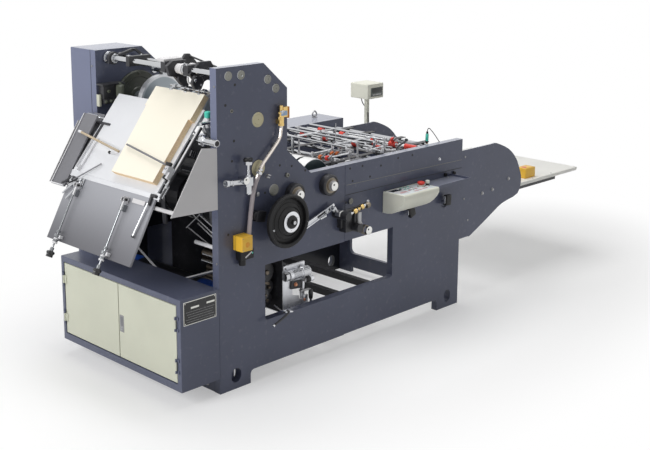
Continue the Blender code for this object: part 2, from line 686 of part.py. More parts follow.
turned("suction_drum", shaft_profile(SUCTION_BUSH_R, 0.030, [(SUCTION_Y - MID_Y, SUCTION_R, 0.030),
                                                             (MID_Y - SUCTION_Y, SUCTION_R, 0.030),
                                                             (0.0, 0.085, 0.120)]),
       "chrome_bar", (SUCTION_AXIS[0], MID_Y, SUCTION_AXIS[1]), steps=30)
turned("pull_drum", shaft_profile(PULL_BUSH_R, 0.036, [(0.0, PULL_R, 0.720)]),
       "black_steel", (PULL_AXIS[0], MID_Y, PULL_AXIS[1]), steps=24)
turned("crease_roller", shaft_profile(CREASE_BUSH_R, 0.020, [(-0.22, CREASE_R, 0.25), (0.22, CREASE_R, 0.25)]),
       "turned_steel", (CREASE_AXIS[0], MID_Y, CREASE_AXIS[1]), steps=20)

# Main drum on the hand wheel's axis: a core with raised bands
MAIN_HALF = CLEAR_W / 2.0 - GAP
main_profile = [(0.0, MAIN_HALF), (MAIN_SHAFT_R, MAIN_HALF)]
for k in range(MAIN_BANDS):
    place = (MAIN_BANDS - 1) * MAIN_PITCH / 2.0 - k * MAIN_PITCH
    half = MAIN_BAND_W / 2.0
    main_profile += [(MAIN_CORE if k else MAIN_SHAFT_R, place + half), (MAIN_R, place + half),
                     (MAIN_R, place - half), (MAIN_CORE if k < MAIN_BANDS - 1 else MAIN_SHAFT_R, place - half)]
main_profile += [(MAIN_SHAFT_R, -MAIN_HALF), (0.0, -MAIN_HALF)]
turned("main_drum", main_profile, "black_steel", (WHEEL_X, MID_Y, WHEEL_Z), steps=20)


def frame_of(top, low):
    """Start, direction down the slope, and direction out of the front face, for a line in the XZ plane."""
    a = Vector((top[0], 0.0, top[1]))
    along = (Vector((low[0], 0.0, low[1])) - a).normalized()
    out = Vector((along.z, 0.0, -along.x))
    return a, along, -out if out.x > 0.0 else out


def ears(plate, top, low, bar, bar_r, places, width=0.016):
    """Lugs on the back of a sloping sheet that grip a round bar, bored with a small clearance."""
    a, along, out = frame_of(top, low)
    to_bar = Vector((bar[0], 0.0, bar[1])) - a
    reach = -to_bar.dot(out) + bar_r + 0.005
    at = a + along * to_bar.dot(along) - out * ((reach + 0.002) / 2.0)
    for y in places:
        fuse(plate, add("lug", box_mesh("lug", (2.0 * bar_r + 0.010, width, reach - 0.002)), "dark_sheet",
                        (at.x, y, at.z), (0.0, math.atan2(-along.z, along.x), 0.0)))
    carve(plate, rod_y("lug_bore", bar_r + GAP, bar[0], bar[1], min(places) - width, max(places) + width,
                       "dark_sheet", 20))


def slope_plate(name, top, low, y0, y1, thickness, mat, flange):
    """A sheet leaning across the machine, its front face on the line from top to low, lips turned back."""
    a, along, out = frame_of(top, low)
    length = math.hypot(top[0] - low[0], top[1] - low[1])
    mid = a + along * length / 2.0 - out * thickness / 2.0
    angle = math.atan2(-along.z, along.x)
    obj = add(name, box_mesh(name, (length, y1 - y0, thickness)), mat, (mid.x, (y0 + y1) / 2.0, mid.z),
              (0.0, angle, 0.0))
    bevel(obj, 0.3 * thickness, 1)
    lip_mid = a + along * length / 2.0 - out * (flange + 0.4 * thickness) / 2.0
    for y in (y0 + 0.6 * thickness, y1 - 0.6 * thickness):
        fuse(obj, add(name + "_lip", box_mesh(name + "_lip", (length - thickness, thickness, flange)), mat,
                      (lip_mid.x, y, lip_mid.z), (0.0, angle, 0.0)))
    return obj


board = slope_plate("feed_board", BOARD_TOP, BOARD_LOW, BOARD_Y0, BOARD_Y1, SHEET_T, "grey_sheet", 0.008)
tray = slope_plate("feed_tray", TRAY_HIGH, TRAY_LOW, BOARD_Y0 - 0.001, BOARD_Y1 + 0.003, SHEET_T, "grey_sheet",
                   0.010)
side_board = slope_plate("side_board", SIDE_TOP, SIDE_LOW, SIDE_Y0, SIDE_Y1, SHEET_T, "dark_sheet", 0.008)
ears(board, BOARD_TOP, BOARD_LOW, LAY, LAY_R, (BOARD_Y0 + 0.090, BOARD_Y1 - 0.090))
ears(tray, TRAY_HIGH, TRAY_LOW, GUARD_BAR, GUARD_BAR_R, (BOARD_Y0 + 0.090, BOARD_Y1 - 0.080))
ears(side_board, SIDE_TOP, SIDE_LOW, GUARD_BAR, GUARD_BAR_R, ((SIDE_Y0 + SIDE_Y1) / 2.0,))

# Stack of blanks: flat outline with the stepped right edge, lying on the board
BOARD_A, BOARD_ALONG, BOARD_OUT = frame_of(BOARD_TOP, BOARD_LOW)
STACK_Y1 = STACK_Y0 + STACK_W
stack_line = [(STACK_TOP, STACK_Y0 - 0.006), (0.075, STACK_Y0 - 0.006), (0.075, STACK_Y0 + 0.008),
              (STACK_LOW, STACK_Y0 + 0.004), (STACK_LOW, STACK_Y1 - 0.028), (0.045, STACK_Y1),
              (0.045, STACK_Y1 + 0.010), (STACK_TOP, STACK_Y1 + 0.010)]
add("blank_stack", outline_mesh("blank_stack", [stack_line], STACK_T), "paper",
    BOARD_A + BOARD_OUT * (STACK_T / 2.0 + GAP), (0.0, math.atan2(-BOARD_ALONG.z, BOARD_ALONG.x), 0.0))

# Side guards in front of the plates, with a tie bar across their lower corners
GUARD_LINE = [from_lay(-0.0677, -0.015), (-GAP, LAY[1] - 0.026), (-GAP, LAY[1] - 0.303), from_lay(-0.2437, -0.292)]
guards = plate_xz("side_guards", [GUARD_LINE], 0.0, GUARD_T, "grey_sheet")
fuse(guards, plate_xz("guard_far", [GUARD_LINE], OUT_W - GUARD_T, OUT_W, "grey_sheet"),
     block("guard_lip_near", (-0.004, 0.0005, LAY[1] - 0.300), (-GAP, 0.0300, LAY[1] - 0.029), "grey_sheet"),
     block("guard_lip_far", (-0.004, OUT_W - 0.0300, LAY[1] - 0.300), (-GAP, OUT_W - 0.0005, LAY[1] - 0.029),
           "grey_sheet"),
     rod_y("guard_tie_bar", GUARD_BAR_R, *GUARD_BAR, 0.001, OUT_W - 0.001, "cream_paint", 16))

# Lay shaft behind the board, with a flanged tube end in front of the near plate
LAY_START = -0.022
LAY_END = OUT_W + 0.003 - LAY_START
lay_profile = [(0.0, LAY_END), (0.015, LAY_END), (LAY_TUBE_R, LAY_END - 0.002), (LAY_TUBE_R, LAY_END - 0.088),
               (LAY_R, LAY_END - 0.092), (LAY_R, 0.112), (0.014, 0.108), (0.026, 0.100), (0.026, 0.086),
               (LAY_TUBE_R, 0.082), (LAY_TUBE_R, 0.002), (0.015, 0.0), (0.008, 0.0), (0.008, 0.012), (0.0, 0.012)]
turned("lay_shaft", lay_profile, "chrome_bar", (LAY[0], LAY_START, LAY[1]), ALONG_Y, 20)

# Adjusting screws under the tray
TRAY_A, TRAY_ALONG, TRAY_OUT = frame_of(TRAY_LOW, TRAY_HIGH)
SCREW_RINGS = ((0.0, 0.016, 0.014), (0.028, 0.009, 0.022), (0.070, 0.012, 0.018), (0.098, 0.014, 0.012),
               (0.118, 0.010, 0.010))


def screw_unit(label, y):
    """Threaded rod along the tray face with its nuts, a foot on the tray and a hand knob at its lower end."""
    base = Vector((TRAY_A.x, y, TRAY_A.z))
    top = base + TRAY_ALONG * 0.255 + TRAY_OUT * SCREW_LIFT
    low = base - TRAY_ALONG * 0.075 + TRAY_OUT * SCREW_LIFT
    turn = TRAY_ALONG.to_track_quat("Z", "Y").to_euler()
    rod = add("adjusting_screw_" + label, rod_mesh("rod", 0.004, (top - low).length, 10), "chrome_bar",
              (top + low) / 2.0, turn, True)
    rings = [add("ring", rod_mesh("ring", radius, length, 12), "chrome_bar", low + TRAY_ALONG * place, turn, True)
             for place, radius, length in SCREW_RINGS]
    foot = add("foot", box_mesh("foot", (0.030, 0.026, SCREW_LIFT)), "chrome_bar",
               base + TRAY_ALONG * 0.235 + TRAY_OUT * (SCREW_LIFT / 2.0 + GAP),
               (0.0, math.atan2(TRAY_ALONG.z, -TRAY_ALONG.x), 0.0))
    return fuse(rod, *rings, foot)


screw_unit("near", BOARD_Y0 + 0.175)
screw_unit("far", BOARD_Y1 - 0.100)

# Air pipe on the near plate: from the valve at the head down to the regulator, with round bends
STOP_X1 = STOP_X0 + STOP_W
PIPE_LOW = (STOP_X1 + 0.013, STOP_Z0)
PIPE_BENDS = ((1.0, 1.0, 0.0), (0.931, 0.910, -0.002), (0.675, 0.811, -0.004), (0.379, 0.697, -0.004),
              (0.163, 0.524, -0.002), (0.084, 0.362, -0.001), (0.015, 0.156, 0.0), (0.0, 0.057, 0.0))
VALVE_Z = VALVE[1]
pipe_path = [(PIPE_LOW[0] + (VALVE[0] - PIPE_LOW[0]) * across, PIPE_Y + out,
              PIPE_LOW[1] + (VALVE_Z - 0.010 - PIPE_LOW[1]) * up) for across, up, out in PIPE_BENDS]
PIPE = [(VALVE[0], PIPE_Y, VALVE_Z), *smooth_path(pipe_path, 4), (PIPE_LOW[0], PIPE_Y, PIPE_LOW[1])]
add("air_pipe", sweep_mesh("air_pipe", PIPE, PIPE_R), "steel_pipe", smooth=True)
valve = rod_between("air_valve", 0.013, (VALVE[0], PIPE_Y, VALVE_Z + GAP), (VALVE[0], PIPE_Y, VALVE_Z + 0.057),
                    "brass", 20)
fuse(valve, rod_between("valve_neck", 0.009, (VALVE[0], PIPE_Y, VALVE_Z + 0.045),
                        (VALVE[0], PIPE_Y, VALVE_Z + 0.095), "brass", 16),
     block("valve_lever", (VALVE[0] + 0.006, PIPE_Y - 0.010, VALVE_Z + 0.040),
           (VALVE[0] + 0.038, PIPE_Y + 0.008, VALVE_Z + 0.087), "brass"),
     block("valve_foot", (VALVE[0] - 0.014, PIPE_Y - 0.004, VALVE_Z + 0.010),
           (VALVE[0] + 0.014, -GAP, VALVE_Z + 0.030), "brass"))

# Yellow one-hole control box with the dark air regulator under it
block("stop_box_near", (STOP_X0, -STOP_D, STOP_Z0), (STOP_X1, -GAP, STOP_Z0 + STOP_H), "yellow_plastic", 0.004, 3)
REG_TOP = STOP_Z0 - 0.0005
reg = block("air_regulator", (REG_X0, -0.038, REG_TOP - REG_H), (REG_X1, -GAP, REG_TOP), "black_plastic", 0.003)
fuse(reg, rod_between("reg_knob", 0.016, (REG_X0 + 0.023, -0.020, REG_TOP - REG_H + 0.008),
                      (REG_X0 + 0.023, -0.020, REG_TOP - REG_H - 0.026), "black_plastic", 20))

# Clamp lever on the near plate
clamp = rod_between("clamp_bar", 0.013, (CLAMP_X - 0.115, CLAMP_Y, CLAMP_Z + 0.010),
                    (CLAMP_X - 0.017, CLAMP_Y, CLAMP_Z), "chrome_bar", 20)
fuse(clamp, rod_between("clamp_screw", 0.006, (CLAMP_X, CLAMP_Y, CLAMP_Z - 0.025),
                        (CLAMP_X, CLAMP_Y, CLAMP_Z + 0.081), "chrome_bar", 14),
     block("clamp_body", (CLAMP_X - 0.027, CLAMP_Y - 0.016, CLAMP_Z - 0.019),
           (CLAMP_X + 0.015, -GAP, CLAMP_Z + 0.019), "chrome_bar"),
     block("clamp_foot", (CLAMP_X - 0.008, CLAMP_Y - 0.006, CLAMP_Z - 0.060),
           (CLAMP_X + 0.013, CLAMP_Y + 0.010, CLAMP_Z - 0.015), "chrome_bar"),
     rod_between("clamp_knob", 0.019, (CLAMP_X, CLAMP_Y, CLAMP_Z + 0.077), (CLAMP_X, CLAMP_Y, CLAMP_Z + 0.093),
                 "black_plastic", 20),
     rod_between("knob_stem", 0.009, (CLAMP_X, CLAMP_Y, CLAMP_Z + 0.089), (CLAMP_X, CLAMP_Y, CLAMP_Z + 0.109),
                 "black_plastic", 14))

# Hand wheel with its bearing boss: dished spoke disc, round rim and a raised hub
boss_profile = [(HUB_SHAFT_R + 0.0005, 0.0), (HUB_SHAFT_R + 0.0005, -BOSS_Y - GAP), (BOSS_R, -BOSS_Y - GAP),
                (BOSS_R, 0.008), (0.8 * BOSS_R, 0.0)]
turned("wheel_boss", boss_profile, "black_steel", (WHEEL_X, BOSS_Y, WHEEL_Z), ALONG_Y, 28)
wheel_profile = [(0.0, 0.041), (HUB_SHAFT_R, 0.041), (HUB_SHAFT_R, -0.008), (0.036, -0.008), (0.036, -0.046),
                 (0.050, -0.044), (0.086, -0.026), (WHEEL_R - 0.022, -0.022), (WHEEL_R - 0.007, -0.022),
                 (WHEEL_R, -0.030), (WHEEL_R, -0.045), (WHEEL_R - 0.006, -0.052), (WHEEL_R - 0.013, -0.052),
                 (WHEEL_R - 0.019, -0.046), (WHEEL_R - 0.023, -0.034), (0.090, -0.038), (0.050, -0.056),
                 (0.050, -0.062), (0.030, -0.064), (0.030, -0.070), (0.022, -0.074), (0.011, -0.074),
                 (0.011, -0.080), (0.010, -0.082), (0.0, -0.082)]
turned("hand_wheel", wheel_profile, "black_plastic", (WHEEL_X, BOSS_Y, WHEEL_Z), ALONG_Y, 32)

# Adjusting hubs: collar on the plate with a bright shaft end
for label, (x, z) in (("feed", HUB_FEED), ("bed", HUB_BED)):
    turned("hub_" + label, [(0.0, -GAP), (HUB_R, -GAP), (HUB_R, -0.026), (HUB_R - 0.006, -0.034), (0.030, -0.034),
                            (0.030, -0.028), (0.023, -0.028), (0.023, -0.056), (0.021, -0.058), (0.007, -0.058),
                            (0.007, -0.052), (0.0, -0.052)],
           "turned_steel", (x, 0.0, z), ALONG_Y, 20)

# Slotted lever and the gum height unit to the right of the hand wheel
lever = rod_between("slot_lever", 0.010, (LEVER_B[0] - 0.012, -0.052, LEVER_B[1] - 0.005),
                    (LEVER_B[0] - 0.012, -GAP, LEVER_B[1] - 0.005), "chrome_bar", 20)
arm_turn = math.atan2(LEVER_B[1] - LEVER_A[1], LEVER_B[0] - LEVER_A[0])
arm_size = (math.hypot(LEVER_B[0] - LEVER_A[0], LEVER_B[1] - LEVER_A[1]), 0.005, 0.026)
fuse(lever, add("lever_arm", box_mesh("lever_arm", arm_size), "chrome_bar",
                ((LEVER_A[0] + LEVER_B[0]) / 2.0, -0.018, (LEVER_A[1] + LEVER_B[1]) / 2.0), (0.0, -arm_turn, 0.0)))
unit = block("gum_height_unit", (UNIT_X0, -0.030, UNIT_Z0), (UNIT_X0 + UNIT_W, -GAP, UNIT_Z0 + UNIT_H),
             "black_steel", 0.003)
SHAFT_X = UNIT_X0 - 0.015
SHAFT_Z = UNIT_Z0 + UNIT_H + 0.004
fuse(unit, rod_between("unit_shaft", 0.022, (SHAFT_X, -0.095, SHAFT_Z), (SHAFT_X, -GAP, SHAFT_Z), "turned_steel", 18),
     rod_between("unit_roller", 0.022, (SHAFT_X + 0.090, -0.090, UNIT_Z0), (SHAFT_X + 0.090, -0.002, UNIT_Z0),
                 "turned_steel", 18),
     rod_between("unit_rod", 0.008, (SHAFT_X, -0.050, SHAFT_Z + 0.012), (SHAFT_X + 0.167, -0.050, SHAFT_Z + 0.026),
                 "turned_steel", 16),
     block("unit_plate", (SHAFT_X + 0.081, -0.058, UNIT_Z0), (SHAFT_X + 0.105, -0.046, UNIT_Z0 + 0.102),
           "turned_steel"))

# Console on the bed rail: end profile in Y and Z, swept along X. Each point is (reach, drop from the top)
CON_SHAPE = ((1.0, 0.004), (1.0, 0.024), (0.90, 0.048), (0.746, 0.072), (0.577, 0.092), (0.394, 0.106),
             (0.211, 0.111))
con_line = [(RECESS - GAP, CON_TOP), (-0.958 * CON_D, CON_TOP + 0.002),
            *[(-CON_D * reach, CON_TOP - drop) for reach, drop in CON_SHAPE], (RECESS - GAP, CON_TOP - CON_H)]
console = plate_yz("console", [con_line], CON_X0, CON_X0 + CON_L, "console_cream")
bevel(console, 0.003)
fuse(console, add("button_collar", rod_mesh("button_collar", COLLAR_R, 0.010, 28), "console_cream",
                  (BUTTON[0], BUTTON[1], COLLAR_TOP - 0.005)))
carve(console, add("button_bore", rod_mesh("button_bore", BUTTON_R + GAP, 0.040, 24), "console_cream",
                   (BUTTON[0], BUTTON[1], COLLAR_TOP + 0.0035)))
turned("stop_button", [(0.0, 0.0310), (BUTTON_R, 0.0300), (0.017, 0.0275), (0.020, 0.0240), (0.020, 0.0190),
                       (0.0185, 0.0160), (BUTTON_R, 0.0155), (BUTTON_R, 0.0), (0.0, 0.0)],
       "red_plastic", (BUTTON[0], BUTTON[1], COLLAR_TOP - 0.0105), ALONG_Z, 24)

# Sheet shelf beside the console
SHELF_X1 = SHELF_X0 + SHELF_L
shelf = block("console_shelf", (SHELF_X0, -SHELF_D, SHELF_TOP - SHELF_T), (SHELF_X1, RECESS - GAP, SHELF_TOP),
              "slate_paint")
fuse(shelf, block("shelf_front", (SHELF_X0, -SHELF_D, SHELF_TOP - 0.0025),
                  (SHELF_X1, SHELF_T - SHELF_D, SHELF_TOP + 0.011), "slate_paint"),
     block("shelf_end", (SHELF_X1 - SHELF_T, 0.0005 - SHELF_D, SHELF_TOP - 0.0025),
           (SHELF_X1, RECESS - GAP - 0.0005, SHELF_TOP + 0.0105), "slate_paint"))

# Counter on its post behind the far wing
COUNTER_MID = (COUNTER_X0 + COUNTER_W / 2.0, COUNTER_Y0 + COUNTER_D / 2.0)
counter = block("counter_box", (COUNTER_X0, COUNTER_Y0, COUNTER_Z0),
                (COUNTER_X0 + COUNTER_W, COUNTER_Y0 + COUNTER_D, COUNTER_Z0 + COUNTER_H), "console_cream", 0.004, 2)
POST_Z0 = TABLE_Z + 0.060
fuse(counter, block("counter_post", (COUNTER_MID[0] - POST_S / 2.0, COUNTER_MID[1] - POST_S / 2.0, POST_Z0),
                    (COUNTER_MID[0] + POST_S / 2.0, COUNTER_MID[1] + POST_S / 2.0, COUNTER_Z0 + 0.021), "cream_paint"),
     block("post_arm", (COUNTER_MID[0] - 0.009, OUT_W - RECESS + GAP, POST_Z0 + 0.020),
           (COUNTER_MID[0] + 0.009, COUNTER_MID[1], POST_Z0 + 0.050), "cream_paint"))

# Delivery table, its brackets and cross rods between the wings
block("delivery_table", (TABLE_X0, TABLE_MARGIN, TABLE_Z - TABLE_T),
      (TABLE_X0 + TABLE_L, OUT_W - TABLE_MARGIN, TABLE_Z), "table_white", 0.004)
BRACKET_TOP = TABLE_Z - TABLE_T - GAP
BRACKET_X0 = TABLE_RODS[0][0] - 0.030
BRACKET_X1 = TABLE_X0 + TABLE_L - 0.235
BRACKET_Y = (TABLE_MARGIN + 0.010, OUT_W - TABLE_MARGIN - 0.010 - BRACKET_T)
brackets = [block("bracket_%d" % k, (BRACKET_X0, y, BRACKET_TOP - BRACKET_H), (BRACKET_X1, y + BRACKET_T, BRACKET_TOP),
                  "black_steel", 0.001) for k, y in enumerate(BRACKET_Y)]
table_frame = brackets[0]
table_frame.name = "table_frame"
fuse(table_frame, brackets[1])
for x, z in TABLE_RODS:
    fuse(table_frame, rod_y("cross_rod", TABLE_ROD_R, x, z, RECESS + WING_T + GAP, WING_IN - GAP, "chrome_bar", 24))
    for y in BRACKET_Y:
        fuse(table_frame, block("lug", (x - 0.020, y + 0.002, BRACKET_TOP - 0.010),
                                (x + 0.020, y + BRACKET_T - 0.002, z + 0.018), "black_steel"))
WING_HALF = MID_Y - RECESS - WING_T - GAP
PIN_R = 0.014
turned("delivery_roller", [(0.0, WING_HALF), (PIN_R, WING_HALF), (PIN_R, WING_HALF - 0.012),
                           (ROLLER_R, WING_HALF - 0.012), (ROLLER_R, 0.012 - WING_HALF), (PIN_R, 0.012 - WING_HALF),
                           (PIN_R, -WING_HALF), (0.0, -WING_HALF)],
       "black_steel", (ROLLER_AXIS[0], MID_Y, ROLLER_AXIS[1]), ALONG_Y, 28)
block("table_stop_box", (TABLE_BOX_X, TABLE_MARGIN + 0.036, TABLE_Z + GAP),
      (TABLE_BOX_X + TABLE_BOX_L, TABLE_MARGIN + 0.036 + TABLE_BOX_W, TABLE_Z + TABLE_BOX_H), "yellow_plastic",
      0.004, 3)

# Folding bed between the rails
DRUM_HALF = CLEAR_W / 2.0 - GAP
DRUM_CORE = DRUM_R - 0.008
DRUM_SHAFT_R = 0.030
drum_profile = [(0.0, DRUM_HALF), (DRUM_SHAFT_R, DRUM_HALF)]
for k in range(DRUM_RINGS):
    place = (DRUM_RINGS - 1) * DRUM_PITCH / 2.0 - k * DRUM_PITCH
    half = 0.4 * DRUM_PITCH
    drum_profile += [(DRUM_CORE if k else DRUM_SHAFT_R, place + half), (DRUM_R, place + half),
                     (DRUM_R, place - half), (DRUM_CORE if k < DRUM_RINGS - 1 else DRUM_SHAFT_R, place - half)]
drum_profile += [(DRUM_SHAFT_R, -DRUM_HALF), (0.0, -DRUM_HALF)]
turned("folding_drum", drum_profile, "chrome_bar", (DRUM_X, MID_Y, DRUM_Z), ALONG_Y, 24)

shaft_x = [BED_X0 + BED_STEP * k for k in range(BED_SHAFTS)]
shafts = [rod_y("cross_%d" % k, BED_SHAFT_R, x, BED_SHAFT_Z, IN_NEAR + GAP, IN_FAR - GAP, "chrome_bar", 12)
          for k, x in enumerate(shaft_x)]
shafts[0].name = "bed_cross_shafts"
fuse(shafts[0], *shafts[1:])
for label, y in (("near", IN_NEAR + 0.018), ("far", IN_FAR - 0.026)):
    fuse(shafts[0], block("shaft_rail_" + label, (BED_X0 - 0.015, y, BED_SHAFT_Z - 0.0075),
                          (BED_X1 + 0.015, y + 0.008, BED_SHAFT_Z + 0.0075), "chrome_bar"))
belts = [block("belt_%d" % k, (BED_X0 - 0.060, y, BELT_Z), (BED_X1 + 0.040, y + BELT_W, BELT_Z + BELT_T),
               "black_steel") for k, y in enumerate(BELT_Y)]
belts[0].name = "bed_belts"
fuse(belts[0], *belts[1:])
GUIDE_X = (UPPER_X[0], UPPER_X[-1], (shaft_x[-2] + shaft_x[-1]) / 2.0)
for k, x in enumerate(GUIDE_X):
    fuse(belts[0], block("belt_guide_%d" % k, (x - 0.015, BELT_Y[0] - 0.010, BELT_Z - 0.0033),
                         (x + 0.015, BELT_Y[-1] + BELT_W + 0.010, BELT_Z + 0.0007), "black_steel"))

# Chrome guide frame over the bed: cross bars and long bars, standing on the belt guides
UPPER_Y = (0.200, 0.500)
upper = rod_y("bed_upper_frame", UPPER_R, UPPER_X[0], UPPER_Z, 0.110, 0.690, "chrome_bar", 12)
fuse(upper, *[rod_y("upper_bar", UPPER_R, x, UPPER_Z, 0.110, 0.690, "chrome_bar", 12) for x in UPPER_X[1:]])
fuse(upper, *[rod_between("upper_long", 0.005, (UPPER_X[0] - 0.002, y, UPPER_Z), (UPPER_X[-1] + 0.002, y, UPPER_Z),
                          "chrome_bar", 10) for y in UPPER_Y])
GUIDE_TOP = BELT_Z + BELT_T + GAP
for x in GUIDE_X[:2]:
    for y, base in ((BELT_Y[0] + BELT_W / 2.0, GUIDE_TOP), (UPPER_Y[1], BELT_Z + 0.0007 + GAP)):
        fuse(upper, rod_between("upper_post", 0.008, (x, y, base), (x, y, UPPER_Z + 0.003), "chrome_bar", 10))

# Press rollers on the belts, in red plastic on thin shafts
PRESS_RINGS = {"feed": ((0.7765, 0.032), (0.6065, 0.032), (0.3765, 0.032), (0.2115, 0.032)),
               "delivery": ((0.7765, 0.032), (0.6065, 0.032), (0.3650, 0.032), (0.2260, 0.046), (0.0980, 0.080))}
PRESS_SHAFT_R = 0.006
for label, x in PRESS_X:
    half = MID_Y - 0.058
    profile = [(0.0, half), (PRESS_SHAFT_R, half)]
    for y, width in PRESS_RINGS[label]:
        place = y - MID_Y
        profile += [(PRESS_SHAFT_R, place + width / 2.0), (PRESS_R, place + width / 2.0),
                    (PRESS_R, place - width / 2.0), (PRESS_SHAFT_R, place - width / 2.0)]
    profile += [(PRESS_SHAFT_R, -half), (0.0, -half)]
    turned("press_rollers_" + label, profile, "red_plastic", (x, MID_Y, PRESS_Z), ALONG_Y, 14)

# Gum unit seen through the window: an upright plate with its roller and fine adjuster, carried by two rods
GUM_FEET = GUM_RODS[0][1] - 0.014
gum = block("gum_unit", (GUM_X0, GUM_Y, GUM_FEET), (GUM_X1, GUM_Y + GUM_T, GUM_Z1), "cream_paint", 0.001, 1)
carve(gum, block("gum_notch", (GUM_X0 + 0.060, GUM_Y - 0.01, GUM_FEET + 0.055),
                 (GUM_X1 - 0.025, GUM_Y + GUM_T + 0.01, GUM_FEET + 0.120), "cream_paint"))
fuse(gum, block("gum_back", (PANEL_X + PANEL_T + 0.005, GUM_Y + 0.001, GUM_Z1 - 0.150),
                (GUM_X0 + 0.010, GUM_Y + GUM_T - 0.001, GUM_Z1 - 0.020), "cream_paint"))
for x, z in GUM_RODS:
    fuse(gum, rod_y("gum_rod", GUM_ROD_R, x, z, IN_NEAR + GAP, IN_FAR - GAP, "chrome_bar", 16))
fuse(gum, rod_y("gum_roller", 0.034, GUM_X0 + 0.100, GUM_Z1 - 0.072, GUM_Y + 0.002, 0.720, "turned_steel", 28),
     rod_between("gum_adjuster", 0.024, (GUM_X0 + 0.012, GUM_Y - 0.020, GUM_Z1 - 0.045),
                 (GUM_X1 + 0.004, GUM_Y - 0.020, GUM_Z1 - 0.045), "turned_steel", 18),
     rod_between("gum_knob", 0.016, (GUM_X1 - 0.010, GUM_Y - 0.030, GUM_Z1 - 0.086),
                 (GUM_X1 + 0.022, GUM_Y - 0.030, GUM_Z1 - 0.086), "black_plastic", 18),
     block("knob_seat", (GUM_X1 - 0.030, GUM_Y - 0.034, GUM_Z1 - 0.094), (GUM_X1 - 0.005, GUM_Y + 0.004, GUM_Z1 - 0.078),
           "turned_steel"))

# Drive motor behind the cabinet, on a foot plate between the side plates
motor = rod_y("drive_motor", MOTOR_R, *MOTOR, IN_NEAR + 0.020, IN_FAR - 0.035, "blue_paint", 40)
FOOT_TOP = MOTOR[1] - MOTOR_R + 0.010
fuse(motor, block("motor_foot", (MOTOR[0] - 0.070, IN_NEAR + GAP, FOOT_TOP - 0.016),
                  (MOTOR[0] + 0.070, IN_FAR - GAP, FOOT_TOP), "blue_paint"))
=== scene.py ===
# %% [markdown]
# # An envelope making machine
# This lesson dresses the solid model of a sheet-fed envelope machine. The machine has a tall feeder head on two
# thick side plates, a long folding bed, a cabinet at the feed end and a low table where the envelopes come out.
# The solids come in as a fixed frame, and everything that follows is made around them.

# %% Load the frame
import math
import bmesh
import bpy
from mathutils import Matrix, Vector


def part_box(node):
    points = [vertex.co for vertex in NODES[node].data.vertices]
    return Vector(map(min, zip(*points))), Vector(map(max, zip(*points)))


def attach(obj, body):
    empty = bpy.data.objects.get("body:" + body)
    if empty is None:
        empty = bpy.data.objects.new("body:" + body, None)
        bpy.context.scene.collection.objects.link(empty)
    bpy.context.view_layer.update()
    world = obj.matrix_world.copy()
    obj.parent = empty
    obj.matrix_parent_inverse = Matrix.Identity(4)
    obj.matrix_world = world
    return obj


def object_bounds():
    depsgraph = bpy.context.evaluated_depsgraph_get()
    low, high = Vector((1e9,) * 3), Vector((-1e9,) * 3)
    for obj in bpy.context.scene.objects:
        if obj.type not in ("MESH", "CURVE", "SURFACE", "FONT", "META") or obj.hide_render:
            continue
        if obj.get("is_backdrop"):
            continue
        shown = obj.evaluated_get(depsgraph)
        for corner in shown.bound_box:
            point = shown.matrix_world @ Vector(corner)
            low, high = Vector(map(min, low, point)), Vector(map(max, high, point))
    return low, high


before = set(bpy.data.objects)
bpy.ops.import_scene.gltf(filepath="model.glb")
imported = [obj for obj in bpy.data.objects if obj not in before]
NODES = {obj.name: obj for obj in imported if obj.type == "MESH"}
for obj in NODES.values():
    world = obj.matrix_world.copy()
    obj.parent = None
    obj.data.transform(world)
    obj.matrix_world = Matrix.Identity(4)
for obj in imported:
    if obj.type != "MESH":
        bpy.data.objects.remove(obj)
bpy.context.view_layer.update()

# %% [markdown]
# ## The camera
# The picture is taken from the operator's side, a little above the head, at about 45 degrees to the machine. A long
# lens keeps the side plates nearly parallel. The lens looks down a little, and a small shift does the rest.

# %% Camera
IMAGE_W = 650
FOCAL_PX = 1119.9
CAM_AT = Vector((-3.0899, -3.6776, 2.1534))
CAM_YAW, CAM_PITCH, CAM_ROLL = math.radians(45.665), math.radians(11.753), math.radians(0.305)
PLATE_ORIGIN = Vector((-0.06, -0.4735, 0.0))

lens = bpy.data.cameras.new("view")
lens.sensor_width = 36.0
lens.lens = FOCAL_PX / IMAGE_W * lens.sensor_width
lens.shift_y = -0.12
lens.clip_start, lens.clip_end = 0.1, 60.0
camera = bpy.data.objects.new("view", lens)
bpy.context.scene.collection.objects.link(camera)
ahead = Vector((math.sin(CAM_YAW) * math.cos(CAM_PITCH), math.cos(CAM_YAW) * math.cos(CAM_PITCH),
                -math.sin(CAM_PITCH)))
level = Vector((math.cos(CAM_YAW), -math.sin(CAM_YAW), 0.0))
above = level.cross(ahead)
side = level * math.cos(CAM_ROLL) + above * math.sin(CAM_ROLL)
upward = above * math.cos(CAM_ROLL) - level * math.sin(CAM_ROLL)
turn = Matrix((side, upward, -ahead)).transposed()
camera.matrix_world = Matrix.Translation(CAM_AT + PLATE_ORIGIN) @ turn.to_4x4()
bpy.context.scene.camera = camera
print("lens", round(lens.lens, 1), "mm")

# %% [markdown]
# ## One class for shader maths
# A material is a graph of nodes, but it reads best as arithmetic. The class below wraps one socket. Adding or
# multiplying two of them adds a Math node, so that a mask can be written as 1 - wear * 0.5.

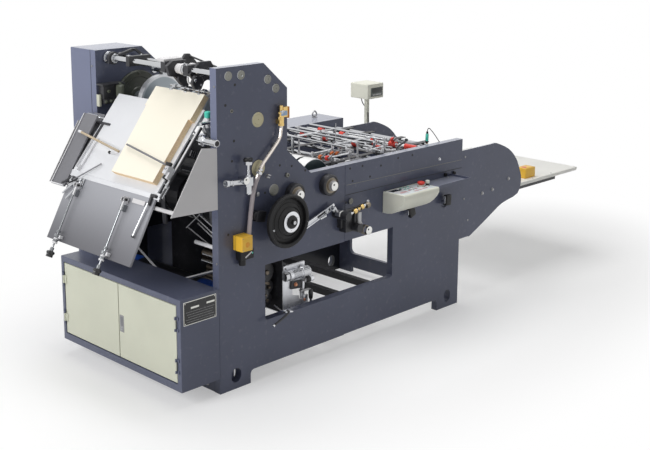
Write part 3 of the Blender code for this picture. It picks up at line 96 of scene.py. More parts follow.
# %% Shader maths
class Sock:
    """One output socket that can be used in Python sums; numbers only, colours go through mix()."""

    def __init__(self, paint, out):
        self.paint = paint
        self.out = out

    def math(self, operation, *others, clamp=False):
        values = {k: v for k, v in enumerate((self, *others))}
        return self.paint.node("ShaderNodeMath", {"operation": operation, "use_clamp": clamp}, values)

    def __add__(self, other):
        return self.math("ADD", other)

    def __sub__(self, other):
        return self.math("SUBTRACT", other)

    def __mul__(self, other):
        return self.math("MULTIPLY", other)

    def __truediv__(self, other):
        return self.math("DIVIDE", other)

    def __rsub__(self, other):
        return self.paint.node("ShaderNodeMath", {"operation": "SUBTRACT"}, {0: other, 1: self})

    def step(self, low, high):
        """Goes smoothly from 0 to 1 between two values."""
        return self.paint.node("ShaderNodeMapRange", {"interpolation_type": "SMOOTHSTEP"},
                               {"Value": self, "From Min": low, "From Max": high})


class Paint:
    """A material built around one Principled shader."""

    def __init__(self, name, rgb=(0.5, 0.5, 0.5), rough=0.5, metal=0.0, **fixed):
        self.mat = bpy.data.materials.new(name)
        self.mat.use_nodes = True
        self.tree = self.mat.node_tree
        self.shader = self.tree.nodes["Principled BSDF"]
        self.shader.inputs["Base Color"].default_value = (*rgb, 1.0)
        self.shader.inputs["Roughness"].default_value = rough
        self.shader.inputs["Metallic"].default_value = metal
        for key, value in fixed.items():
            self.shader.inputs[key.replace("_", " ")].default_value = value
        self.mat.diffuse_color = (*rgb, 1.0)

    def node(self, kind, settings=None, sockets=None, out=0):
        """Adds any node: its settings first, then the values or links of its sockets."""
        made = self.tree.nodes.new(kind)
        for key, value in (settings or {}).items():
            if key == "stops":
                ramp = made.color_ramp
                while len(ramp.elements) < len(value):
                    ramp.elements.new(0.5)
                for element, (place, rgb) in zip(ramp.elements, value):
                    element.position = place
                    element.color = (*rgb, 1.0)
            else:
                setattr(made, key, value)
        for key, value in (sockets or {}).items():
            if isinstance(value, Sock):
                self.tree.links.new(value.out, made.inputs[key])
            else:
                made.inputs[key].default_value = value
        return Sock(self, made.outputs[out])

    def place(self):
        """The point on the surface, in metres."""
        return self.node("ShaderNodeTexCoord", out="Object")

    def axis(self, name, point=None):
        """One coordinate of a point, as a number."""
        return self.node("ShaderNodeSeparateXYZ", {}, {0: point or self.place()}, out=name)

    def noise(self, scale, detail=3.0, point=None, stretch=None):
        """Soft cloudy values about 0.5; stretch squeezes the pattern along an axis."""
        at = point or self.place()
        if stretch:
            at = self.node("ShaderNodeVectorMath", {"operation": "MULTIPLY"}, {0: at, 1: stretch})
        return self.node("ShaderNodeTexNoise", {}, {"Vector": at, "Scale": scale, "Detail": detail}, out=0)

    def mix(self, factor, one, two):
        """Mixes two colours, each a socket or a plain colour."""
        one, two = [c if isinstance(c, Sock) else (*c, 1.0) for c in (one, two)]
        return self.node("ShaderNodeMix", {"data_type": "RGBA"}, {0: factor, 6: one, 7: two}, out=2)

    def feed(self, name, value):
        """Links a value that varies over the surface to the shader."""
        self.tree.links.new(value.out, self.shader.inputs[name])

    def bump(self, height, distance, strength=1.0):
        """Fine relief; the distance is its depth in metres."""
        self.feed("Normal", self.node("ShaderNodeBump", {}, {"Height": height, "Distance": distance,
                                                             "Strength": strength}))


print("shader helpers ready")

# %% [markdown]
# ## Floor, backdrop and light
# The real machine stands on a white page with a soft shadow. A wide floor that is white to the camera and to
# reflections keeps the shadow. Large soft lamps from the feed side make the near-white faces of the feeder.

# %% Floor and world
def studio_white(name):
    """White where the camera or a mirror sees it, plain pale grey for the light on the object."""
    paint = Paint(name, (0.80, 0.80, 0.80), 0.9)
    rays = paint.tree.nodes.new("ShaderNodeLightPath")
    seen = Sock(paint, rays.outputs["Is Camera Ray"])
    mirror = Sock(paint, rays.outputs["Is Glossy Ray"])
    through = Sock(paint, rays.outputs["Is Transmission Ray"])
    return paint, (seen + mirror + through).math("MINIMUM", 1.0)


floor_paint, mirrored = studio_white("floor_white")
floor_mesh = bpy.data.meshes.new("floor")
bm = bmesh.new()
bmesh.ops.create_grid(bm, x_segments=1, y_segments=1, size=30.0)
bm.to_mesh(floor_mesh)
bm.free()
floor = bpy.data.objects.new("floor", floor_mesh)
bpy.context.scene.collection.objects.link(floor)
floor.location = (1.5, 0.0, -0.0005)
floor_mesh.materials.append(floor_paint.mat)
floor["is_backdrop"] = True

world = bpy.data.worlds.new("studio")
bpy.context.scene.world = world
world.use_nodes = True
wt = world.node_tree
sky = wt.nodes["Background"]
rays = wt.nodes.new("ShaderNodeLightPath")
white = wt.nodes.new("ShaderNodeBackground")
white.inputs["Color"].default_value = (1.0, 1.0, 1.0, 1.0)
white.inputs["Strength"].default_value = 1.0
sky.inputs["Color"].default_value = (1.0, 1.0, 1.0, 1.0)
sky.inputs["Strength"].default_value = 0.24
blend = wt.nodes.new("ShaderNodeMixShader")
total = rays.outputs["Is Camera Ray"]
for name in ("Is Glossy Ray", "Is Transmission Ray"):
    add = wt.nodes.new("ShaderNodeMath")
    add.use_clamp = True
    wt.links.new(total, add.inputs[0])
    wt.links.new(rays.outputs[name], add.inputs[1])
    total = add.outputs[0]
wt.links.new(total, blend.inputs[0])
wt.links.new(sky.outputs[0], blend.inputs[1])
wt.links.new(white.outputs[0], blend.inputs[2])
wt.links.new(blend.outputs[0], wt.nodes["World Output"].inputs[0])
print("floor and world ready")

# %% Lamps
def soft_lamp(name, at, aim, size, watts, tint=(1.0, 1.0, 1.0)):
    """A large square lamp that looks at one point."""
    data = bpy.data.lights.new(name, "AREA")
    data.shape = "SQUARE"
    data.size = size
    data.energy = watts
    data.color = tint
    lamp = bpy.data.objects.new(name, data)
    bpy.context.scene.collection.objects.link(lamp)
    lamp.location = at
    lamp.rotation_euler = (Vector(aim) - Vector(at)).to_track_quat("-Z", "Y").to_euler()
    return lamp


soft_lamp("key_feed", (-4.9, 0.2, 3.2), (0.6, 0.0, 0.8), 2.6, 180.0)
soft_lamp("fill_near", (1.0, -5.5, 3.0), (1.0, 0.0, 0.6), 3.0, 16.0)
soft_lamp("top_soft", (1.0, 0.5, 5.0), (1.0, 0.0, 0.8), 3.0, 135.0)
print("lamps ready")

# %% White page round the machine
across_x = (floor_paint.axis("X") + 0.30) / 2.05
across_y = floor_paint.axis("Y") / 1.15
page = (across_x * across_x + across_y * across_y).math("SQRT").step(0.95, 1.55)
glow = floor_paint.node("ShaderNodeEmission", {}, {"Color": (1.0, 1.0, 1.0, 1.0), "Strength": 1.0})
lit = Sock(floor_paint, floor_paint.shader.outputs[0])
floor_mix = floor_paint.node("ShaderNodeMixShader", {}, {0: mirrored * (page * 0.62 + 0.38), 1: lit, 2: glow})
floor_paint.tree.links.new(floor_mix.out, floor_paint.tree.nodes["Material Output"].inputs["Surface"])
floor_paint.feed("Base Color", floor_paint.mix(mirrored, (0.80, 0.80, 0.80), (1.0, 1.0, 1.0)))
print("floor fades to white")

# %% [markdown]
# ## Painted metal
# The plates wear a slate grey paint that turns a little blue in the light. Real paint is never one flat colour: it
# has faint clouds, a light orange peel and dusty spots. One function makes every paint of the machine; on the slate
# it also paints a highlight on tops and on the feed side, and painted shade on the unlit inside of the far plate.

# %% Paints
def painted(name, rgb, rough=0.42, cloud=0.06, peel=0.00005, dust=(0.55, 0.56, 0.60), dusty=0.06, film=0.0,
            inner=None, **fixed):
    """Satin paint: faint clouds, dusty marks, a fine orange peel, and high up a painted highlight on top faces and a
    painted paler feed side.

    inner is a place across the machine: what lies nearer than it and low down is darkened as painted shade, for the
    unlit inside."""
    paint = Paint(name, rgb, rough, 0.0, **fixed)
    clouds = paint.noise(3.5, 4.0)
    marks = paint.noise(38.0, 5.0).step(0.56, 0.74)
    low = tuple(c * (1.0 - cloud) for c in rgb)
    high = tuple(min(1.0, c * (1.0 + cloud)) for c in rgb)
    base = paint.mix(clouds.step(0.32, 0.68), low, high)
    base = paint.mix(marks * dusty, base, dust)
    if film:
        normal = paint.node("ShaderNodeTexCoord", out="Normal")
        up = paint.axis("Z", normal).step(0.80, 0.98)
        # painted highlight: faces turned to the feed side grow paler with height, up to 1.75 times the paint, as the
        # lamps light them
        front = (paint.axis("X", normal) * -1.0).step(0.80, 0.98)
        base = paint.mix(front * paint.axis("Z").step(0.60, 1.40), base, tuple(c * 1.75 for c in rgb))
        # painted highlight: top faces high up are lifted to a pale blue-grey sheen, mottled a little by the dust
        # marks
        base = paint.mix(up * paint.axis("Z").step(0.60, 0.85) * (marks * 0.1 + film), base, (0.62, 0.64, 0.72))
    if inner:
        # painted shade: low down on the inner side the paint is darkened to a tenth, where no lamp reaches
        inside_shade = (1.0 - paint.axis("Y").step(inner - 0.001, inner + 0.001)) * (1.0 - paint.axis("Z").step(0.68, 0.80))
        base = paint.mix(inside_shade, base, tuple(c * 0.10 for c in rgb))
    paint.feed("Base Color", base)
    paint.feed("Roughness", clouds * 0.16 + marks * 0.10 + (rough - 0.08))
    paint.bump(paint.noise(420.0, 2.0), peel, 0.6)
    return paint


SLATE_RGB = (0.092, 0.103, 0.158)
SLATE_LOOK = {"film": 0.42, "Coat_Weight": 0.6, "Coat_Roughness": 0.22, "Specular_IOR_Level": 0.10}
FAR_INSIDE = 0.45  # what lies nearer than this place across the machine, and low down, gets painted shade
SLATE = painted("slate_grey_paint", SLATE_RGB, **SLATE_LOOK)
SLATE_SHADED_INSIDE = painted("slate_grey_painted_shade_inside", SLATE_RGB, inner=FAR_INSIDE, **SLATE_LOOK)
CREAM = painted("door_cream_paint", (0.60, 0.61, 0.50), 0.46, 0.03, dusty=0.03)
CONSOLE = painted("console_cream_paint", (0.84, 0.84, 0.73), 0.46, 0.03, dusty=0.02)
TABLE = painted("table_white_paint", (0.93, 0.925, 0.88), 0.50, 0.03, dusty=0.04, dust=(0.45, 0.43, 0.38))
BLACK_PAINT = painted("black_paint", (0.020, 0.020, 0.024), 0.42, 0.20, dusty=0.05)
MOTOR_RGB = (0.015, 0.08, 0.42)
SHAFT_RGB = (0.018, 0.018, 0.020)
BLUE = Paint("motor_blue_paint", MOTOR_RGB, 0.40)
along = BLUE.axis("Y") + 0.4735  # from the near plate, in metres
ends = 1.0 - along.step(0.325, 0.335) * (1.0 - along.step(0.795, 0.805))
BLUE.feed("Base Color", BLUE.mix(ends, SHAFT_RGB, MOTOR_RGB))
BLUE.feed("Roughness", BLUE.noise(14.0, 4.0) * 0.16 + 0.32)
BLUE.bump(BLUE.noise(420.0, 2.0), 0.00005, 0.6)
print("paints made")

# %% [markdown]
# ## Bare metal
# Bars are hard chrome, shafts are turned steel with fine rings, and sheets are brushed. The rings and brush lines
# are only roughness and tiny relief. They run round the bars because the noise is stretched across them.

# %% Metals
def metal(name, rgb, rough, grain=(1.0, 1.0, 1.0), scale=90.0, spread=0.14, depth=0.00002, stain=0.10,
          metallic=1.0):
    """Bare metal with a directional grain in its roughness and relief, and faint stains."""
    paint = Paint(name, rgb, rough, metallic)
    lines = paint.noise(scale, 4.0, stretch=grain)
    stains = paint.noise(7.0, 5.0).step(0.40, 0.72)
    dark = tuple(c * 0.62 for c in rgb)
    paint.feed("Base Color", paint.mix(stains * stain, rgb, dark))
    paint.feed("Roughness", lines * spread + stains * 0.08 + (rough - spread * 0.5))
    paint.bump(lines, depth, 0.5)
    return paint


CHROME = metal("hard_chrome", (0.56, 0.57, 0.59), 0.14, (0.3, 1.0, 0.3), 60.0, 0.10, 0.00001)
TURNED = metal("turned_steel", (0.40, 0.40, 0.41), 0.32, (0.2, 6.0, 0.2), 130.0, 0.20, 0.00003)
SHEET = metal("brushed_sheet", (0.76, 0.77, 0.80), 0.38, (0.6, 9.0, 0.6), 40.0, 0.16, 0.00001)
SATIN = metal("satin_board", (0.70, 0.71, 0.735), 0.52, (0.6, 9.0, 0.6), 40.0, 0.16, 0.00001, metallic=0.3)
PIPE = metal("plated_pipe", (0.58, 0.53, 0.49), 0.26, (1.0, 1.0, 1.0), 60.0, 0.16)
BRASS = metal("brass", (0.70, 0.50, 0.20), 0.30, (1.0, 1.0, 1.0), 80.0, 0.14)
GUARD = painted("guard_grey_paint", (0.66, 0.65, 0.66), 0.44, 0.03, dusty=0.04)
DARK_SHEET = painted("dark_sheet_paint", (0.155, 0.155, 0.170), 0.36, 0.10)


def banded(name, node, radius, rod, ring, rod_metal=1.0, ring_metal=0.0, rough=0.24):
    """One finish on the shaft of a turned solid along Y and another on its rings, split at a radius."""
    low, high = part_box(node)
    mid = (low + high) / 2
    paint = Paint(name, ring, rough, ring_metal)
    across, up = paint.axis("X") - mid.x, paint.axis("Z") - mid.z
    outer = (across * across + up * up).math("SQRT").step(radius - 0.0007, radius + 0.0007)
    paint.feed("Base Color", paint.mix(outer, rod, ring))
    paint.feed("Metallic", outer * (ring_metal - rod_metal) + rod_metal)
    lines = paint.noise(90.0, 3.0, stretch=(0.2, 5.0, 0.2))
    paint.feed("Roughness", lines * 0.14 + (rough - 0.07))
    paint.bump(lines, 0.00001, 0.4)
    return paint


DISC = banded("suction_drum_steel", "suction_drum", 0.121, (0.36, 0.40, 0.43), (0.62, 0.63, 0.65), 0.7, 1.0, 0.34)
DRUM = banded("chrome_drum", "folding_drum", 0.0965, (0.050, 0.074, 0.080), (0.80, 0.80, 0.80), 0.3, 1.0, 0.30)
PRESS_LOOK = {"radius": 0.0105, "rod": (0.78, 0.79, 0.80), "ring": (0.78, 0.06, 0.04)}
PRESS_A = banded("press_roller_feed", "press_rollers_feed", **PRESS_LOOK)
PRESS_B = banded("press_roller_delivery", "press_rollers_delivery", **PRESS_LOOK)
print("metals made")

# %% Plastics and paper
def moulded(name, rgb, rough=0.38, pebble=0.00006, **fixed):
    """Moulded plastic with a fine pebbled skin."""
    paint = Paint(name, rgb, rough, 0.0, **fixed)
    cloud = paint.noise(14.0, 3.0)
    paint.feed("Base Color", paint.mix(cloud.step(0.3, 0.7), tuple(c * 0.92 for c in rgb), rgb))
    paint.feed("Roughness", cloud * 0.14 + (rough - 0.07))
    paint.bump(paint.noise(900.0, 2.0), pebble, 0.5)
    return paint


BLACK = moulded("black_plastic", (0.012, 0.012, 0.013), Specular_IOR_Level=0.28)
YELLOW = moulded("yellow_plastic", (0.95, 0.56, 0.05), 0.36)
RED = moulded("red_plastic", (0.74, 0.045, 0.03), 0.32)
TEAL = moulded("teal_plastic", (0.07, 0.62, 0.48), 0.32)
STACK = Paint("stacked_paper", (0.93, 0.88, 0.74), 0.85, Specular_IOR_Level=0.15)
low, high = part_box("feed_board")
outward = Vector((low.z - high.z, 0.0, high.x - low.x)).normalized()
surface = STACK.node("ShaderNodeTexCoord", out="Normal")
top_side = STACK.node("ShaderNodeVectorMath", {"operation": "DOT_PRODUCT"}, {0: surface, 1: outward}, out="Value")
leaves = STACK.noise(260.0, 3.0, stretch=(1.0, 0.03, 1.0))
edge_tone = STACK.mix(leaves.step(0.35, 0.65), (0.80, 0.60, 0.37), (0.94, 0.74, 0.50))
STACK.feed("Base Color", STACK.mix(top_side.step(0.5, 0.9), edge_tone, (0.89, 0.845, 0.725)))
STACK.bump(leaves, 0.0004, 0.5)
TRAY_SHEET = Paint("tray_sheet", (0.4, 0.4, 0.42), 0.36, 1.0)
low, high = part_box("feed_tray")
# painted reflection and shade: the sheet's colour darkens towards its low edge, as its reflection dims down the slope
painted_reflection_fade = ((TRAY_SHEET.axis("Z") - low.z) / (high.z - low.z)).step(-0.1, 1.05)
TRAY_SHEET.feed("Base Color", TRAY_SHEET.mix(painted_reflection_fade, (0.145, 0.145, 0.158), (0.34, 0.345, 0.37)))
brush = TRAY_SHEET.noise(40.0, 4.0, stretch=(0.6, 9.0, 0.6))
TRAY_SHEET.feed("Roughness", brush * 0.14 + 0.46)
TRAY_SHEET.bump(brush, 0.00001, 0.5)
SCREW = Paint("screw_with_black_knob", (0.56, 0.57, 0.59), 0.18, 1.0)
KNOB_TOP = 0.614  # the black knob's upper edge, in metres
tip = SCREW.axis("Z").step(KNOB_TOP - 0.0005, KNOB_TOP + 0.0005)
SCREW.feed("Base Color", SCREW.mix(tip, (0.016, 0.016, 0.018), (0.24, 0.25, 0.26)))
SCREW.feed("Metallic", tip)
SCREW.feed("Roughness", SCREW.noise(60.0, 3.0) * 0.12 + 0.14)
print("plastics and paper made")

# %% Dress the solids
FINISH = {
    SLATE_SHADED_INSIDE: ["side_plate_far"],
    SLATE: ["floor_beam_feed", "side_plate_near", "wing_near", "wing_far", "gear_cover", "cabinet",
            "console_shelf", "delivery_end_plate"],
    CREAM: ["door_near", "door_far"],
    CONSOLE: ["console", "counter_box"],
    TABLE: ["delivery_table"],
    BLACK_PAINT: ["tie_beam_feed", "inner_panel", "tie_beam_delivery", "table_frame", "delivery_roller", "bed_belts",
                  "pull_drum", "main_drum", "wheel_boss", "gum_height_unit"],
    CHROME: ["front_tie_bars", "rear_tie_bars", "lay_shaft", "clamp_bar", "slot_lever", "bed_cross_shafts",
             "bed_upper_frame"],
    DISC: ["suction_drum"],
    DRUM: ["folding_drum"],
    SCREW: ["adjusting_screw_near", "adjusting_screw_far"],
    PRESS_A: ["press_rollers_feed"],
    PRESS_B: ["press_rollers_delivery"],
    TURNED: ["crease_roller", "hub_feed", "hub_bed"],
    SHEET: ["gum_unit"],
    SATIN: ["feed_board"],
    TRAY_SHEET: ["feed_tray"],
    GUARD: ["side_guards"],
    DARK_SHEET: ["side_board"],
    PIPE: ["air_pipe"],
    BRASS: ["air_valve"],
    BLACK: ["air_regulator", "hand_wheel"],
    YELLOW: ["stop_box_near", "table_stop_box"],
    RED: ["stop_button"],
    STACK: ["blank_stack"],
    BLUE: ["drive_motor"],
}
dressed = set()
for paint, names in FINISH.items():
    for name in names:
        if name in NODES:
            for k in range(len(NODES[name].material_slots)):
                NODES[name].material_slots[k].material = paint.mat
            dressed.add(name)
print("dressed", len(dressed), "of", len(NODES), sorted(set(NODES) - dressed))

# %% [markdown]
# ## A small kit for fittings
# A machine is read by its fittings: clamps, bolts, knobs, rods and bent levers. Each of them is made on a lathe,
# sawn from bar, cut from plate or bent from rod, so one class with those four jobs can make them all. A fitting is
# one mesh that collects closed shapes, and each shape keeps the finish that is in use when it is added.

# %% Fitting builder
def P(x, y, z):
    """A point measured from the near side plate's outer lower corner at the feed end."""
    return PLATE_ORIGIN + Vector((x, y, z))


def square_to(axis):
    """An axis and two directions square to it."""
    axis = Vector(axis).normalized()
    other = Vector((0, 0, 1)) if abs(axis.z) < 0.9 else Vector((1, 0, 0))
    u = axis.cross(other).normalized()
    return axis, u, axis.cross(u)


def smooth_line(points, parts=5):
    """More points on a soft curve through the given ones."""
    pts = [Vector(p) for p in points]
    pts = [pts[0] * 2 - pts[1]] + pts + [pts[-1] * 2 - pts[-2]]
    line = []
    for a, b, c, d in zip(pts, pts[1:], pts[2:], pts[3:]):
        for k in range(parts):
            t = k / parts
            line.append(0.5 * (2 * b + (c - a) * t + (2 * a - 5 * b + 4 * c - d) * t * t
                               + (3 * b - a - 3 * c + d) * t ** 3))
    return line + [pts[-2]]


class Fitting:
    """One mesh that collects closed shapes, each in the finish that is in use."""

    def __init__(self, paint):
        self.bm = bmesh.new()
        self.paints = [paint]
        self.now = 0

    def use(self, paint):
        if paint not in self.paints:
            self.paints.append(paint)
        self.now = self.paints.index(paint)

    def hull(self, points, loops):
        """Adds points, and the faces that join them by number."""
        verts = [self.bm.verts.new(p) for p in points]
        for loop in loops:
            self.bm.faces.new([verts[k] for k in loop]).material_index = self.now
        return verts

    def rings(self, rows, closed=False):
        """Joins rows of points into a skin; a row of one point is a tip, and open ends are capped."""
        points, starts = [], []
        for row in rows:
            starts.append(len(points))
            points += row
        loops = []
        pairs = list(zip(range(len(rows)), range(1, len(rows)))) + ([(len(rows) - 1, 0)] if closed else [])
        for i, j in pairs:
            a, b, n, m = starts[i], starts[j], len(rows[i]), len(rows[j])
            for k in range(max(n, m)):
                q = (k + 1) % max(n, m)
                if n == 1:
                    loops.append((a, b + k, b + q))
                elif m == 1:
                    loops.append((a + k, b, a + q))
                else:
                    loops.append((a + k, b + k, b + q, a + q))
        if not closed:
            for i in (0, len(rows) - 1):
                if len(rows[i]) > 2:
                    loops.append(tuple(starts[i] + k for k in range(len(rows[i]))))
        self.hull(points, loops)

    def turned(self, profile, at, axis, steps=20, closed=False, lobes=0, wave=0.0, phase=0.0):
        """Lathe work: (distance along the axis, radius) pairs; lobes and wave make a scalloped knob."""
        axis, u, v = square_to(axis)
        at = Vector(at)
        rows = []
        for along, r in profile:
            if r < 1e-6:
                rows.append([at + axis * along])
                continue
            row = []
            for k in range(steps):
                t = 2 * math.pi * k / steps + phase
                q = r * (1 + wave * math.cos(lobes * t))
                row.append(at + axis * along + (u * math.cos(t) + v * math.sin(t)) * q)
            rows.append(row)
        self.rings(rows, closed)

    def rod(self, a, b, r, edge=0.0012, steps=14):
        """A straight rod with broken edges."""
        a, b = Vector(a), Vector(b)
        n, edge = (b - a).length, min(edge, r * 0.4)
        self.turned([(0, r - edge), (edge, r), (n - edge, r), (n, r - edge)], a, b - a, steps)

    def ring(self, at, axis, inner, outer, length, edge=0.001, steps=24):
        """A collar with a bore, from at along the axis."""
        self.turned([(0, inner), (0, outer - edge), (edge, outer), (length - edge, outer),
                     (length, outer - edge), (length, inner)], at, axis, steps, closed=True)

    def hex_bolt(self, at, axis, r, tall=None, washer=True):
        """A hexagon head on a washer, seated at a point."""
        axis = Vector(axis).normalized()
        tall = tall or r * 0.75
        if washer:
            self.turned([(0, r * 1.25), (r * 0.16, r * 1.25), (r * 0.2, r * 1.2)], at, axis, 18)
            at = Vector(at) + axis * r * 0.2
        self.turned([(0, r), (tall * 0.8, r), (tall, r * 0.84)], at, axis, 6, phase=0.3)

    def cap_bolt(self, at, axis, r, tall=None):
        """A socket head with its recess, seated at a point."""
        tall = tall or r * 1.1
        self.turned([(0, r), (tall - r * 0.15, r), (tall, r * 0.86), (tall, r * 0.55), (tall * 0.4, r * 0.5),
                     (tall * 0.36, 0)], at, axis, 14)

    def slab(self, middle, size, x_dir=(1, 0, 0), z_dir=(0, 0, 1), edge=0.0015):
        """A sawn block with broken edges, turned to two directions."""
        x_dir = Vector(x_dir).normalized()
        z_dir = (Vector(z_dir) - x_dir * Vector(z_dir).dot(x_dir)).normalized()
        y_dir = z_dir.cross(x_dir)
        middle = Vector(middle)
        corners = [middle + x_dir * size[0] * a / 2 + y_dir * size[1] * b / 2 + z_dir * size[2] * c / 2
                   for a in (-1, 1) for b in (-1, 1) for c in (-1, 1)]
        verts = self.hull(corners, [(0, 1, 3, 2), (4, 6, 7, 5), (0, 4, 5, 1), (2, 3, 7, 6), (0, 2, 6, 4),
                                    (1, 5, 7, 3)])
        self.chamfer(verts, min(edge, min(size) * 0.3))

    def block(self, low, high, edge=0.0015):
        """A block between two corners."""
        low, high = Vector(low), Vector(high)
        self.slab((low + high) / 2, high - low, edge=edge)

    def chamfer(self, verts, edge):
        """Breaks the edges of what was added last."""
        if edge <= 0:
            return
        mine = set(verts)
        edges = [e for e in {e for v in verts for e in v.link_edges} if e.verts[0] in mine and e.verts[1] in mine]
        bmesh.ops.bevel(self.bm, geom=edges, offset=edge, segments=2, profile=0.6, affect="EDGES",
                        clamp_overlap=True, material=-1)

    def plate(self, outline, at, u, v, thick, edge=0.0008):
        """Sheet cut to an outline of (u, v) pairs; its thickness goes along u cross v."""
        at, u, v = Vector(at), Vector(u).normalized(), Vector(v).normalized()
        out = u.cross(v)
        base = [at + u * a + v * b for a, b in outline]
        top = [p + out * thick for p in base]
        n = len(outline)
        loops = [tuple(range(n))[::-1], tuple(range(n, 2 * n))]
        loops += [(k, (k + 1) % n, n + (k + 1) % n, n + k) for k in range(n)]
        verts = self.hull(base + top, loops)
        if edge:
            rims = [e for e in {e for p in verts for e in p.link_edges}
                    if (e.verts[0] in verts[:n]) == (e.verts[1] in verts[:n])]
            bmesh.ops.bevel(self.bm, geom=rims, offset=min(edge, thick * 0.3), segments=1, affect="EDGES",
                            clamp_overlap=True, material=-1)

    def bent(self, points, r, steps=10, parts=5):
        """A rod, tube or wire bent along a line; parts 0 keeps its corners sharp."""
        line = smooth_line(points, parts) if parts else [Vector(p) for p in points]
        rows = []
        _, u, _ = square_to(line[1] - line[0])
        for k, p in enumerate(line):
            ahead = (line[min(k + 1, len(line) - 1)] - line[max(k - 1, 0)]).normalized()
            u = (u - ahead * u.dot(ahead)).normalized()
            w = ahead.cross(u)
            rows.append([p + (u * math.cos(2 * math.pi * q / steps) + w * math.sin(2 * math.pi * q / steps)) * r
                         for q in range(steps)])
        self.rings(rows)

    def wing_nut(self, at, axis, span, up=(0, 0, 1)):
        """A hub with two rounded ears."""
        axis = Vector(axis).normalized()
        _, u, _ = square_to(axis)
        side = Vector(up).cross(axis).normalized() if up else u
        at = Vector(at)
        self.turned([(0, span * 0.24), (span * 0.3, span * 0.2), (span * 0.32, span * 0.1)], at, axis, 14)
        for s in (-1, 1):
            ear = [(0.10, 0.02), (0.30, 0.10), (0.50, 0.34), (0.46, 0.50), (0.34, 0.50), (0.12, 0.28)]
            self.plate([(a * span, b * span) for a, b in ear], at - side.cross(axis) * span * 0.05 * s, side * s,
                       axis,
                       span * 0.1, span * 0.02)

    def done(self, name, slot, body="machine"):
        """Turns the collected shapes into one piece that rides on a body."""
        bmesh.ops.recalc_face_normals(self.bm, faces=self.bm.faces[:])
        mesh = bpy.data.meshes.new(name)
        self.bm.to_mesh(mesh)
        self.bm.free()
        for paint in self.paints:
            mesh.materials.append(paint.mat)
        mesh.shade_smooth()
        mesh.set_sharp_from_angle(angle=math.radians(32))
        piece = bpy.data.objects.new(name, mesh)
        bpy.context.scene.collection.objects.link(piece)
        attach(piece, body)
        print(f"{name}: {sum(len(p.vertices) - 2 for p in mesh.polygons)} triangles")
        return piece


X, Y, Z = Vector((1, 0, 0)), Vector((0, 1, 0)), Vector((0, 0, 1))
print("fitting kit ready")

# %% [markdown]
# ## The feeder head
# Two chrome bars carry everything that lifts a blank off the stack: clamps, black arms, collars and a small sucker
# carriage. The solids hold the bars and their clamps. The arms are sawn plate, so their outlines are drawn in the
# plane of the side plates and given a thickness along the bars.

# %% Head bars and arms
BAR_A, BAR_B = (0.069, 1.461), (0.143, 1.459)
head = Fitting(CHROME)
head.ring(P(BAR_A[0], 0.903, BAR_A[1]), -Y, 0.0142, 0.030, 0.016)
head.ring(P(BAR_A[0], 0.886, BAR_A[1]), -Y, 0.0142, 0.025, 0.020)
head.ring(P(BAR_A[0], 0.846, BAR_A[1]), -Y, 0.0142, 0.023, 0.012)
for k in range(3):
    t = 2.1 * k + 0.6
    head.cap_bolt(P(BAR_A[0] + 0.0215 * math.cos(t), 0.887, BAR_A[1] + 0.0215 * math.sin(t)), -Y, 0.0042)
head.use(BLACK_PAINT)
head.ring(P(BAR_A[0], 0.866, BAR_A[1]), -Y, 0.0142, 0.031, 0.020)
head.plate([(0.078, 1.470), (0.100, 1.462), (0.205, 1.488), (0.200, 1.4985), (0.185, 1.4985)],
           P(0, 0.872, 0), X, Z, 0.016)
head.plate([(0.186, 1.4985), (0.205, 1.4985), (0.272, 1.452), (0.262, 1.440)], P(0, 0.860, 0), X, Z, 0.010)
for y in (0.265, 0.430, 0.703):
    half = 0.0175 if y < 0.7 else 0.0145
    head.block(P(0.0445, y - half, 1.4365), P(0.1705, y + half, 1.4855), 0.003)
    for x in (BAR_A[0], BAR_B[0]):
        head.use(CHROME)
        head.cap_bolt(P(x - 0.016, y, 1.4855), Z, 0.0048)
        head.use(BLACK_PAINT)
print("bar clamps and far arm made")

# %% Front arms
head.plate([(0.006, 1.476), (0.040, 1.4975), (0.104, 1.4975), (0.120, 1.430), (0.122, 1.392), (0.108, 1.371),
            (0.086, 1.384), (0.052, 1.424), (0.022, 1.428)], P(0, 0.366, 0), X, Z, 0.018)
head.plate([(0.060, 1.425), (0.120, 1.400), (0.116, 1.374), (0.098, 1.368), (0.058, 1.408)],
           P(0, 0.347, 0), X, Z, 0.014)
head.plate([(0.042, 1.446), (0.100, 1.4975), (0.166, 1.4975), (0.184, 1.470), (0.176, 1.425), (0.120, 1.404),
            (0.066, 1.418)], P(0, 0.247, 0), X, Z, 0.016)
head.plate([(0.062 + 0.036 * math.cos(math.pi * k / 3), 1.412 + 0.036 * math.sin(math.pi * k / 3))
            for k in range(6)], P(0, 0.214, 0), X, Z, 0.020, 0.003)
head.plate([(0.070, 1.430), (0.115, 1.440), (0.115, 1.408), (0.085, 1.398)], P(0, 0.246, 0), X, Z, 0.030)
head.use(GUARD)
head.ring(P(BAR_A[0], 0.346, BAR_A[1]), -Y, 0.0142, 0.023, 0.026)
head.ring(P(BAR_A[0], 0.316, BAR_A[1]), -Y, 0.0142, 0.026, 0.016)
head.ring(P(BAR_B[0], 0.346, BAR_B[1]), -Y, 0.0142, 0.021, 0.030)
head.block(P(0.040, 0.415, 1.4865), P(0.150, 0.470, 1.4985), 0.003)
head.use(CHROME)
head.ring(P(BAR_A[0], 0.298, BAR_A[1]), -Y, 0.0142, 0.024, 0.010)
head.cap_bolt(P(BAR_A[0] - 0.004, 0.297, BAR_A[1] + 0.024), Z, 0.005)
head.turned([(0, 0.0075), (0.003, 0.0075), (0.0042, 0.006), (0.0042, 0)], P(0.044, 0.194, 1.424), -Y)
head.cap_bolt(P(0.074, 0.194, 1.400), -Y, 0.0055)
head.cap_bolt(P(0.086, 0.3475, 1.396), -Y, 0.0050)
head.cap_bolt(P(0.050, 0.366, 1.460), -Y, 0.0060)
print("front arms made")

